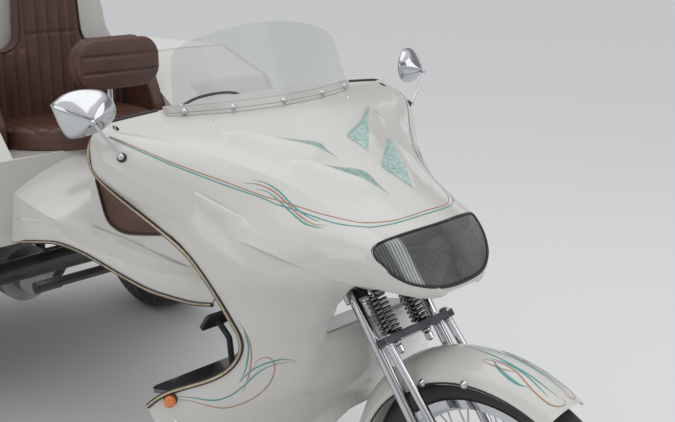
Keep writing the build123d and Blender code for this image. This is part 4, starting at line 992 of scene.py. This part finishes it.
bm = bmesh.new()
grid = [[bm.verts.new(spot) for spot in column] for column in sheet]
for column, (first, second) in enumerate(zip(grid, grid[1:])):
    for row in range(skin_rows):
        if column == middle_column and open_rows[row] and open_rows[row + 1]:
            continue
        bm.faces.new((first[row], second[row], second[row + 1], first[row + 1]))
bmesh.ops.remove_doubles(bm, verts=bm.verts[:], dist=4e-5)
bmesh.ops.dissolve_degenerate(bm, dist=2e-5, edges=bm.edges[:])
bmesh.ops.delete(bm, geom=[edge for edge in bm.edges if not edge.link_faces], context="EDGES")
bmesh.ops.recalc_face_normals(bm, faces=bm.faces)
sample = max(bm.faces, key=lambda face: abs(face.calc_center_median().y))
if sample.normal.y * sample.calc_center_median().y < 0:
    bmesh.ops.reverse_faces(bm, faces=bm.faces)
shield_skin_piece = piece("leg_shield_skin", mesh_from(bm, "leg_shield_skin"), "chassis", shell_paint)
wall = shield_skin_piece.modifiers.new("wall", "SOLIDIFY")
wall.thickness = 0.0045
wall.offset = -1
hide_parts("leg_shield")


# Edge trim of the fairing

for hand, side in (("right", -1), ("left", 1)):
    top = []
    for y in (0.300, 0.325, 0.350, 0.370):
        place, normal = drop_on(hood_skin, Vector((0.622, side * y, 1.3)), down)
        top.append(Vector((0.616, side * y, place.z)))
    for step in range(13):
        swing = radians(82 - 70 * step / 12)
        way = Vector((0, -side * cos(swing), -sin(swing)))
        hit = hood_skin.ray_cast(Vector((0.622, side * 0.38, 1.06)) - way * 0.5, way)
        if hit[0]:
            top.append(Vector((0.616, hit[0].y, hit[0].z)))
    run = []
    lowest = max(spot.z for spot in rear_edges[side])
    for x, z in edge_line[:-1:2]:
        if lowest + 0.006 < z < top[-1].z - 0.004:
            hit = hood_skin.ray_cast(Vector((x + 0.012, side * 0.8, z)), Vector((0, -side, 0)))
            if hit[0] and abs(hit[0].y) > 0.28:
                run.append(Vector((x, hit[0].y, z)))
    border = [spot for spot in reversed(rear_edges[side]) if 0.560 < spot.z < top[-1].z - 0.004]
    path = top + run + border[::2]
    for turn in range(3):
        path = [path[0]] + [(before + 2 * spot + after) / 4 for before, spot, after
                            in zip(path, path[1:], path[2:])] + [path[-1]]
    path = curve_through(path, 2)
    tube_along(f"edge_rubber_{hand}", path, 0.0058, "chassis", trim_rubber)
    bead = [spot + Vector((0.0022, side * 0.0042, 0.0012)) for spot in path]
    tube_along(f"edge_bead_{hand}", bead, 0.0027, "chassis", bead_metal)

shield_lines = (
    ("tall_teal", stripe_teal, 0.0034, ((0.917, 0.324, 0.766), (0.925, 0.317, 0.749), (0.928, 0.312, 0.728),
     (0.930, 0.308, 0.704), (0.929, 0.310, 0.679), (0.927, 0.315, 0.654), (0.923, 0.322, 0.633),
     (0.919, 0.329, 0.620))),
    ("tall_copper", stripe_copper, 0.0030, ((0.919, 0.323, 0.763), (0.927, 0.314, 0.742), (0.932, 0.307, 0.718),
     (0.933, 0.304, 0.697), (0.933, 0.304, 0.674), (0.932, 0.308, 0.650), (0.929, 0.313, 0.625),
     (0.925, 0.319, 0.607), (0.922, 0.324, 0.597))),
    ("loop_copper", stripe_copper, 0.0030, ((0.935, 0.303, 0.647), (0.937, 0.298, 0.662), (0.943, 0.289, 0.673),
     (0.951, 0.275, 0.675), (0.957, 0.265, 0.667), (0.959, 0.260, 0.651), (0.957, 0.262, 0.631),
     (0.952, 0.270, 0.611), (0.944, 0.285, 0.592), (0.933, 0.305, 0.577), (0.917, 0.327, 0.566),
     (0.900, 0.352, 0.561), (0.887, 0.374, 0.566), (0.873, 0.396, 0.576), (0.856, 0.415, 0.585),
     (0.840, 0.432, 0.589), (0.825, 0.447, 0.589))),
    ("upper_teal", stripe_teal, 0.0034, ((0.919, 0.329, 0.620), (0.925, 0.319, 0.633), (0.934, 0.304, 0.648),
     (0.945, 0.285, 0.658), (0.958, 0.262, 0.664), (0.970, 0.240, 0.665), (0.980, 0.215, 0.656))),
    ("long_teal", stripe_teal, 0.0034, ((0.980, 0.215, 0.655), (0.971, 0.236, 0.657), (0.958, 0.262, 0.655),
     (0.946, 0.283, 0.647), (0.936, 0.300, 0.634), (0.927, 0.316, 0.617), (0.916, 0.333, 0.601),
     (0.906, 0.350, 0.590), (0.894, 0.368, 0.584), (0.881, 0.385, 0.585), (0.867, 0.401, 0.590),
     (0.853, 0.417, 0.594), (0.838, 0.432, 0.596), (0.823, 0.448, 0.592))),
)
for hand, side in (("right", -1), ("left", 1)):
    for label, paint, width, points in shield_lines:
        painted_line(f"shield_line_{label}_{hand}", smooth_skin, both_sides(points, side), width, paint)

fender_lines = (
    ("long_teal", stripe_teal, 0.0034, ((1.275, 0.000, 0.719), (1.311, 0.006, 0.725), (1.349, 0.010, 0.728),
     (1.384, 0.012, 0.727), (1.419, 0.014, 0.723), (1.451, 0.014, 0.717), (1.483, 0.015, 0.707),
     (1.503, 0.015, 0.700), (1.520, 0.013, 0.693))),
    ("second_teal", stripe_teal, 0.0034, ((1.355, 0.024, 0.725), (1.375, 0.020, 0.726), (1.398, 0.018, 0.726),
     (1.429, 0.018, 0.722), (1.452, 0.020, 0.716), (1.475, 0.024, 0.708), (1.494, 0.027, 0.701),
     (1.508, 0.028, 0.695))),
    ("loop_copper", stripe_copper, 0.0032, ((1.350, 0.034, 0.722), (1.355, 0.029, 0.724), (1.373, 0.026, 0.725),
     (1.392, 0.023, 0.725), (1.413, 0.023, 0.723), (1.432, 0.026, 0.719), (1.455, 0.033, 0.711),
     (1.475, 0.038, 0.703), (1.492, 0.040, 0.697), (1.509, 0.040, 0.690), (1.521, 0.036, 0.685),
     (1.531, 0.028, 0.683), (1.536, 0.018, 0.684), (1.533, 0.010, 0.687), (1.524, 0.007, 0.691))),
    ("low_copper", stripe_copper, 0.0030, ((1.350, 0.034, 0.722), (1.370, 0.036, 0.721), (1.384, 0.036, 0.721),
     (1.398, 0.035, 0.720), (1.412, 0.031, 0.720), (1.426, 0.027, 0.719))),
    ("brush_teal", stripe_teal, 0.0065, ((1.369, 0.024, 0.726), (1.387, 0.034, 0.721), (1.404, 0.040, 0.717),
     (1.427, 0.044, 0.711), (1.448, 0.044, 0.706), (1.466, 0.039, 0.705))),
)
for hand, side in (("right", -1), ("left", 1)):
    for label, paint, width, points in fender_lines:
        painted_line(f"fender_line_{label}_{hand}", fender_skin, both_sides(points, side), width, paint, "steering")
    for edge_side in (1,):
        run = []
        for step in range(36):
            swing = radians(66 + 110 * step / 35)
            spot = Vector((1.392 + 0.3345 * cos(swing), side * 0.0765, 0.345 + 0.3345 * sin(swing)))
            run.append(settle(fender_skin, spot)[0] + Vector((0, side * 0.0006, 0)))
        tube_along(f"fender_edge_roll_{hand}", run, 0.0022, "steering", trim_rubber, 3)


# Headlamp glass and its gasket

lamp_lean = radians(17.7)
lamp_out = Vector((cos(lamp_lean), 0, sin(lamp_lean)))
lamp_rise = Vector((-sin(lamp_lean), 0, cos(lamp_lean)))
lamp_middle = Vector((1.230, 0, 0.917))
lamp_half = ((0, 66), (75, 65.5), (138, 62), (163, 56.5), (173, 43), (170, 20), (155, -11), (122, -38), (68, -58),
             (0, -65))


def lamp_spot(y, v, depth):
    """Place at a depth behind the plane of the lamp."""
    return lamp_middle + Vector((0, y, 0)) + lamp_rise * v - lamp_out * depth


# depth of the hood's skin at each place of the half outline
lamp_depths = (0.0172, 0.0285, 0.0440, 0.0525, 0.0525, 0.0400, 0.0225, 0.0020, -0.0172, -0.0150)
half_turn = [(y / 1000, v / 1000, depth) for (y, v), depth in zip(lamp_half, lamp_depths)]
whole_turn = half_turn + [(-y, v, depth) for y, v, depth in half_turn[-2:0:-1]]
outline = curve_through(whole_turn[-1:] + whole_turn + whole_turn[:2], 8)[8:-8]
outline = outline[:-1] if (outline[0] - outline[-1]).length < 1e-5 else outline
lens_middle = -0.0050
count = len(outline)


def lamp_ring(bm, share, behind):
    """Ring of the lamp's glass or cup: its share of the outline and how far behind the skin it lies."""
    made = []
    for spot in outline:
        deep = lens_middle + share * share * (spot.z - lens_middle) + behind
        made.append(bm.verts.new(lamp_spot(spot.x * share, spot.y * share, deep)))
    return made


def join_rings(bm, rings, centre):
    for first, second in zip(rings, rings[1:]):
        for index in range(count):
            bm.faces.new((first[index], first[(index + 1) % count], second[(index + 1) % count], second[index]))
    for index in range(count):
        bm.faces.new((rings[-1][index], rings[-1][(index + 1) % count], centre))
    bmesh.ops.recalc_face_normals(bm, faces=bm.faces)


bm = bmesh.new()
rings = [lamp_ring(bm, 0.975, 0.012), lamp_ring(bm, 0.975, 0.004), lamp_ring(bm, 0.960, 0.0018)]
rings += [lamp_ring(bm, share, 0.0) for share in (0.93, 0.86, 0.76, 0.64, 0.5, 0.35, 0.18)]
join_rings(bm, rings, bm.verts.new(lamp_spot(0, 0, lens_middle)))
if max(bm.faces, key=lambda part: part.calc_center_median().x).normal.x < 0:
    bmesh.ops.reverse_faces(bm, faces=bm.faces)
head_glass = piece("headlamp_glass", mesh_from(bm, "headlamp_glass"), "chassis", head_lens)
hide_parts("headlamp_lens")
bm = bmesh.new()
rings = [lamp_ring(bm, 0.998, 0.0015), lamp_ring(bm, 0.985, 0.020), lamp_ring(bm, 0.80, 0.050), lamp_ring(bm, 0.5, 0.062)]
join_rings(bm, rings, bm.verts.new(lamp_spot(0, 0, 0.062)))
cup = piece("headlamp_cup", mesh_from(bm, "headlamp_cup"), "chassis", gasket_black)
cup_wall = cup.modifiers.new("wall", "SOLIDIFY")
cup_wall.thickness = 0.002
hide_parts("headlamp_bowl")
gasket = [lamp_spot(spot.x * 0.992, spot.y * 0.992, spot.z + 0.0012) for spot in outline]
tube_along("headlamp_gasket", gasket, 0.0030, "chassis", gasket_black, 4, True)


# Mirrors: faceted housing, glass, thin stalk with its ball and grommet

mirror_outline = ((-0.065, 0.023), (-0.038, 0.042), (-0.006, 0.050), (0.030, 0.048), (0.047, 0.040),
                  (0.063, 0.019), (0.065, -0.007), (0.046, -0.030), (0.014, -0.045), (-0.033, -0.049),
                  (-0.051, -0.022))
mirror_peak = (0.010, -0.008)
mirror_rings = ((0.955, -0.003), (1.0, 0.0), (1.0, 0.004), (0.94, 0.013), (0.74, 0.024), (0.50, 0.034),
                (0.26, 0.043), (0.10, 0.048))
for hand, side in (("right", -1), ("left", 1)):
    ahead = Vector((cos(radians(22)), side * sin(radians(22)), 0))
    across = Vector((sin(radians(22)), -side * cos(radians(22)), 0))
    head = Vector((0.657, side * 0.506, 1.205))

    def mirror_spot(a, up, forward):
        return head + across * a + Vector((0, 0, up)) + ahead * forward

    rim = curve_through([(a, up, 0) for a, up in mirror_outline + mirror_outline[:1]], 4)[:-1]
    bm = bmesh.new()
    rings = []
    for share, forward in mirror_rings:
        lean = 1 - share if share < 1 and forward > 0 else 0
        rings.append([bm.verts.new(mirror_spot(spot.x * share + mirror_peak[0] * lean,
                                               spot.y * share + mirror_peak[1] * lean, forward)) for spot in rim])
    size = len(rim)
    for first, second in zip(rings, rings[1:]):
        for index in range(size):
            bm.faces.new((first[index], first[(index + 1) % size], second[(index + 1) % size], second[index]))
    tip = bm.verts.new(mirror_spot(*mirror_peak, 0.0495))
    for index in range(size):
        bm.faces.new((rings[-1][index], rings[-1][(index + 1) % size], tip))
    bmesh.ops.recalc_face_normals(bm, faces=bm.faces)
    if max(bm.faces, key=lambda part: part.calc_center_median().x).normal.x < 0:
        bmesh.ops.reverse_faces(bm, faces=bm.faces)
    housing = piece(f"mirror_housing_{hand}", mesh_from(bm, f"mirror_housing_{hand}"), "chassis", chrome)
    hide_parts("mirrors")
    bm = bmesh.new()
    glass_rings = [[bm.verts.new(mirror_spot(spot.x * share, spot.y * share, -0.002 - 0.002 * (1 - share)))
                    for spot in rim] for share in (0.955, 0.6, 0.3)]
    for first, second in zip(glass_rings, glass_rings[1:]):
        for index in range(size):
            bm.faces.new((first[index], first[(index + 1) % size], second[(index + 1) % size], second[index]))
    bm.faces.new(glass_rings[-1])
    bmesh.ops.recalc_face_normals(bm, faces=bm.faces)
    if min(bm.faces, key=lambda part: part.calc_center_median().x).normal.x > 0:
        bmesh.ops.reverse_faces(bm, faces=bm.faces)
    piece(f"mirror_glass_{hand}", mesh_from(bm, f"mirror_glass_{hand}"), "chassis", mirror_glass)
    joint = mirror_spot(mirror_peak[0], mirror_peak[1] - 0.003, 0.054)
    base, normal = settle(hood_skin, Vector((0.712, side * 0.456, 1.112)))
    foot = base + normal * 0.009
    bend = foot.lerp(joint, 0.72) + normal * 0.004
    stalk = tube_along(f"mirror_stalk_{hand}", curve_through((foot, foot.lerp(bend, 0.5), bend, joint), 5), 0.0032,
                       "chassis", chrome, 4)
    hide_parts("mirrors")
    for label, spot, radius in (("ball", foot, 0.0075), ("joint", joint, 0.0070)):
        turned(f"mirror_{label}_{hand}", ((0, -radius), (radius * 0.7, -radius * 0.7), (radius, 0),
                                          (radius * 0.7, radius * 0.7), (0, radius)), spot, normal, "chassis",
               chrome, 16)
    turned(f"mirror_grommet_{hand}", ((0, -0.002), (0.0105, -0.002), (0.0105, 0.002), (0.007, 0.004), (0, 0.004)),
           base, normal, "chassis", trim_rubber, 24)
    stud(f"mirror_screw_{hand}", mirror_spot(-0.008, -0.022, 0.030), (ahead + Vector((0, 0, -0.4))).normalized(),
         0.003, 0.002)


# Turn lamps on the wings of the leg shield

for hand, side in (("right", -1), ("left", 1)):
    place, normal = settle(smooth_skin, Vector((0.862, side * 0.480, 0.592)))
    if normal.y * side < 0:
        normal = -normal
    turned(f"turn_lamp_base_{hand}", ((0, -0.003), (0.0150, -0.003), (0.0150, 0.006), (0, 0.006)), place, normal,
           "chassis", trim_rubber, 24)
    lamp = turned(f"turn_lamp_glass_{hand}", ((0, 0.005), (0.0130, 0.005), (0.0132, 0.016), (0.0115, 0.0205),
                                              (0.006, 0.0225), (0, 0.023)), place, normal, "chassis", amber_lens, 24)
    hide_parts("turn_lamps")


# Springs of the fork

rake = radians(37.8)
fork_ahead = Vector((cos(rake), 0, sin(rake)))
fork_up = Vector((-sin(rake), 0, cos(rake)))


def fork_spot(u, y, w):
    return Vector((0.975, 0, 0.792)) + fork_ahead * u + Vector((0, y, 0)) + fork_up * w


spring_low, spring_high = -0.1516, -0.0524
for hand, y in (("right", -0.050), ("left", 0.050)):
    run = []
    turns = 8.5
    for step in range(int(turns * 20) + 1):
        swing = 2 * pi * step / 20
        share = step / (turns * 20)
        rise = spring_low + 0.004 + (spring_high - spring_low - 0.008) * share
        run.append(fork_spot(0.064 + 0.0205 * cos(swing), y + 0.0205 * sin(swing), rise))
    tube_along(f"fork_spring_{hand}", run, 0.0038, "steering", spring_steel, 3)
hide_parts("fork_springs")
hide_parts("fork_springs")


# Dark plates of the perch that the springs stand on

for label, middle, half_u, half_y in (("bar", 0.089, 0.0156, 0.1156), ("seat", 0.064, 0.0256, 0.0776)):
    bm = bmesh.new()
    bmesh.ops.create_cube(bm, size=1.0)
    bmesh.ops.scale(bm, vec=(2 * half_u, 2 * half_y, 0.0172), verts=bm.verts)
    bmesh.ops.bevel(bm, geom=bm.edges[:] + bm.verts[:], offset=0.0022, offset_type="OFFSET", segments=3, profile=0.5,
                    affect="EDGES", material=-1)
    swing = Matrix((fork_ahead, Vector((0, 1, 0)), fork_up)).transposed().to_4x4()
    bmesh.ops.transform(bm, matrix=Matrix.Translation(fork_spot(middle, 0, -0.160)) @ swing, verts=bm.verts)
    piece(f"perch_plate_{label}", mesh_from(bm, f"perch_plate_{label}"), "steering", plated_dark, smooth=False)


# Studs, screws and caps

rim_skin = shell_tree("screen_rim")
for number, y in enumerate((-0.255, -0.142, 0.0, 0.142, 0.255)):
    place, normal = drop_on(rim_skin, Vector((0.9, y, 1.176)), (-1, 0, 0))
    stud(f"screen_stud_{number}", place, normal, 0.0075, 0.008)
for hand, side in (("right", -1), ("left", 1)):
    place, normal = drop_on(hood_skin, Vector((0.713, side * 0.219, 1.3)), down)
    stud(f"hood_screw_{hand}", place, normal, 0.005, 0.003)
    place, normal = drop_on(shield_skin, Vector((0.83, side * 0.7, 0.53)), (0, -side, 0))
    stud(f"shield_bolt_{hand}", place, normal, 0.008, 0.006)
    for number, around in enumerate((98, 118)):
        swing = radians(around)
        spot = Vector((1.385 + 0.336 * cos(swing), side * 0.5, 0.345 + 0.336 * sin(swing)))
        place, normal = drop_on(fender_skin, spot, (0, -side, 0))
        stud(f"fender_bolt_{number}_{hand}", place, normal, 0.009, 0.009, "steering")
    for number, (u, y) in enumerate(((0.064, 0.050), (0.091, 0.101))):
        stud(f"perch_nut_{number}_{hand}", fork_spot(u, side * y, -0.152), fork_up, 0.0145, 0.010, "steering")
        stud(f"perch_stub_{number}_{hand}", fork_spot(u, side * y, -0.168), -fork_up, 0.011, 0.030, "steering")


# Stiff wire hoop behind the windshield, and the trim along the tub's lower edge

hoop_run = curve_through(((0.600, -0.2325, 1.172), (0.600, -0.175, 1.190), (0.600, -0.103, 1.194),
                           (0.600, -0.050, 1.185), (0.600, 0.008, 1.155)), 8)
tube_along("dash_hoop", hoop_run, 0.0035, "chassis", trim_rubber, 4)
for label, spot, ahead in (("near", hoop_run[0], hoop_run[1]), ("far", hoop_run[-1], hoop_run[-2])):
    turned(f"hoop_end_{label}", ((0, 0), (0.0055, 0), (0.0055, 0.016), (0.004, 0.018), (0, 0.018)), spot,
           (ahead - spot).normalized(), "chassis", chrome, 16)

spine_skin = shell_tree("spine")
skirt_line = ((-0.110, 0.312, 0.698), (-0.040, 0.286, 0.708), (0.028, 0.262, 0.714), (0.145, 0.252, 0.712),
              (0.280, 0.252, 0.702), (0.370, 0.252, 0.695), (0.467, 0.250, 0.690), (0.550, 0.246, 0.694),
              (0.639, 0.240, 0.702), (0.700, 0.228, 0.712))
for hand, side in (("right", -1), ("left", 1)):
    low_run = curve_through(both_sides(skirt_line, side), 6)
    bm = bmesh.new()
    columns = []
    for low in low_run:
        hit = spine_skin.ray_cast(Vector((low.x, side * 0.8, 0.772)), Vector((0, -side, 0)))
        if hit[0] is None:
            continue
        high = hit[0] + Vector((0, side * 0.001, 0))
        column = []
        for step in range(9):
            t = step / 8
            spot = high.lerp(low, t)
            spot.y = high.y + (low.y - high.y) * t * t * (3 - 2 * t)
            column.append(bm.verts.new(spot))
        columns.append(column)
    for first, second in zip(columns, columns[1:]):
        for row in range(8):
            bm.faces.new((first[row], second[row], second[row + 1], first[row + 1]))
    bmesh.ops.recalc_face_normals(bm, faces=bm.faces)
    if sum(part.normal.y for part in bm.faces) * side < 0:
        bmesh.ops.reverse_faces(bm, faces=bm.faces)
    bmesh.ops.solidify(bm, geom=bm.faces[:], thickness=0.004)
    piece(f"tub_skirt_{hand}", mesh_from(bm, f"tub_skirt_{hand}"), "chassis", shell_paint)
    run = [spot + Vector((0, side * 0.001, -0.001)) for spot in low_run]
    tube_along(f"tub_edge_rubber_{hand}", run, 0.0052, "chassis", trim_rubber)
    tube_along(f"tub_edge_bead_{hand}", [spot + Vector((0, side * 0.0042, 0.0012)) for spot in run], 0.0024,
               "chassis", bead_metal)


# Floor, world and lamps

floor_mesh = bpy.data.meshes.new("studio_floor")
bm = bmesh.new()
bmesh.ops.create_grid(bm, x_segments=1, y_segments=1, size=150)
bm.to_mesh(floor_mesh)
bm.free()
floor = bpy.data.objects.new("studio_floor", floor_mesh)
bpy.context.scene.collection.objects.link(floor)
floor_finish = bpy.data.materials.new("pale_floor")
floor_finish.use_nodes = True
floor_shader = floor_finish.node_tree.nodes["Principled BSDF"]
floor_shader.inputs["Base Color"].default_value = (0.80, 0.80, 0.79, 1)
floor_shader.inputs["Roughness"].default_value = 0.9
floor_mesh.materials.append(floor_finish)

world = bpy.data.worlds.new("studio")
bpy.context.scene.world = world
world.use_nodes = True
sky = world.node_tree
for node in list(sky.nodes):
    sky.nodes.remove(node)
output = sky.nodes.new("ShaderNodeOutputWorld")
mixer = sky.nodes.new("ShaderNodeMixShader")
light_path = sky.nodes.new("ShaderNodeLightPath")
soft = sky.nodes.new("ShaderNodeBackground")
plain = sky.nodes.new("ShaderNodeBackground")
plain.inputs["Strength"].default_value = 1.0
sky_place = sky.nodes.new("ShaderNodeTexCoord").outputs["Generated"]
sky_split = sky.nodes.new("ShaderNodeSeparateXYZ")
sky.links.new(sky_place, sky_split.inputs[0])
ramp = sky.nodes.new("ShaderNodeValToRGB")
ramp.color_ramp.elements[0].position = 0.40
ramp.color_ramp.elements[0].color = (0.26, 0.26, 0.265, 1)
ramp.color_ramp.elements[1].position = 0.95
ramp.color_ramp.elements[1].color = (0.95, 0.97, 1.0, 1)
middle = ramp.color_ramp.elements.new(0.55)
middle.color = (0.62, 0.63, 0.65, 1)
sky.links.new(spread(sky, sky_split.outputs["Z"], -1.0, 1.0, 0.0, 1.0), ramp.inputs["Fac"])
sky.links.new(ramp.outputs["Color"], soft.inputs["Color"])
soft.inputs["Strength"].default_value = 0.80
backdrop = sky.nodes.new("ShaderNodeValToRGB")
backdrop.color_ramp.elements[0].position = 0.30
backdrop.color_ramp.elements[0].color = (0.62, 0.62, 0.62, 1)
backdrop.color_ramp.elements[1].position = 1.0
backdrop.color_ramp.elements[1].color = (1.0, 1.0, 1.0, 1)
for spot, tone in ((0.50, 0.70), (0.56, 0.74), (0.62, 0.34), (0.72, 0.26), (0.80, 0.82)):
    stop = backdrop.color_ramp.elements.new(spot)
    stop.color = (tone, tone, tone * 1.01, 1)
sky.links.new(spread(sky, sky_split.outputs["Z"], -1.0, 1.0, 0.0, 1.0), backdrop.inputs["Fac"])
sky.links.new(backdrop.outputs["Color"], plain.inputs["Color"])
seen = light_path.outputs["Is Camera Ray"]
for kind in ("Is Glossy Ray", "Is Transmission Ray"):
    either = sky.nodes.new("ShaderNodeMath")
    either.operation = "MAXIMUM"
    sky.links.new(seen, either.inputs[0])
    sky.links.new(light_path.outputs[kind], either.inputs[1])
    seen = either.outputs[0]
sky.links.new(seen, mixer.inputs["Fac"])
sky.links.new(soft.outputs[0], mixer.inputs[1])
sky.links.new(plain.outputs[0], mixer.inputs[2])
sky.links.new(mixer.outputs[0], output.inputs["Surface"])


def soft_lamp(name, spot, aim, size, power, tint=(1, 1, 1)):
    data = bpy.data.lights.new(name, "AREA")
    data.shape = "RECTANGLE"
    data.size, data.size_y = size
    data.energy = power
    data.color = tint
    lamp = bpy.data.objects.new(name, data)
    bpy.context.scene.collection.objects.link(lamp)
    lamp.location = spot
    lamp.rotation_euler = (Vector(aim) - Vector(spot)).to_track_quat("-Z", "Y").to_euler()
    return lamp


soft_lamp("overhead", (0.3, -0.4, 4.2), (0.2, 0, 0.6), (4.5, 4.0), 40)
soft_lamp("front_side", (4.0, 1.6, 2.6), (0.6, 0, 0.8), (2.5, 2.0), 20)
soft_lamp("near_side", (0.5, -4.2, 2.4), (0.0, 0, 0.7), (3.0, 2.0), 20)

bpy.context.scene.view_settings.view_transform = "Standard"

bpy.context.view_layer.update()
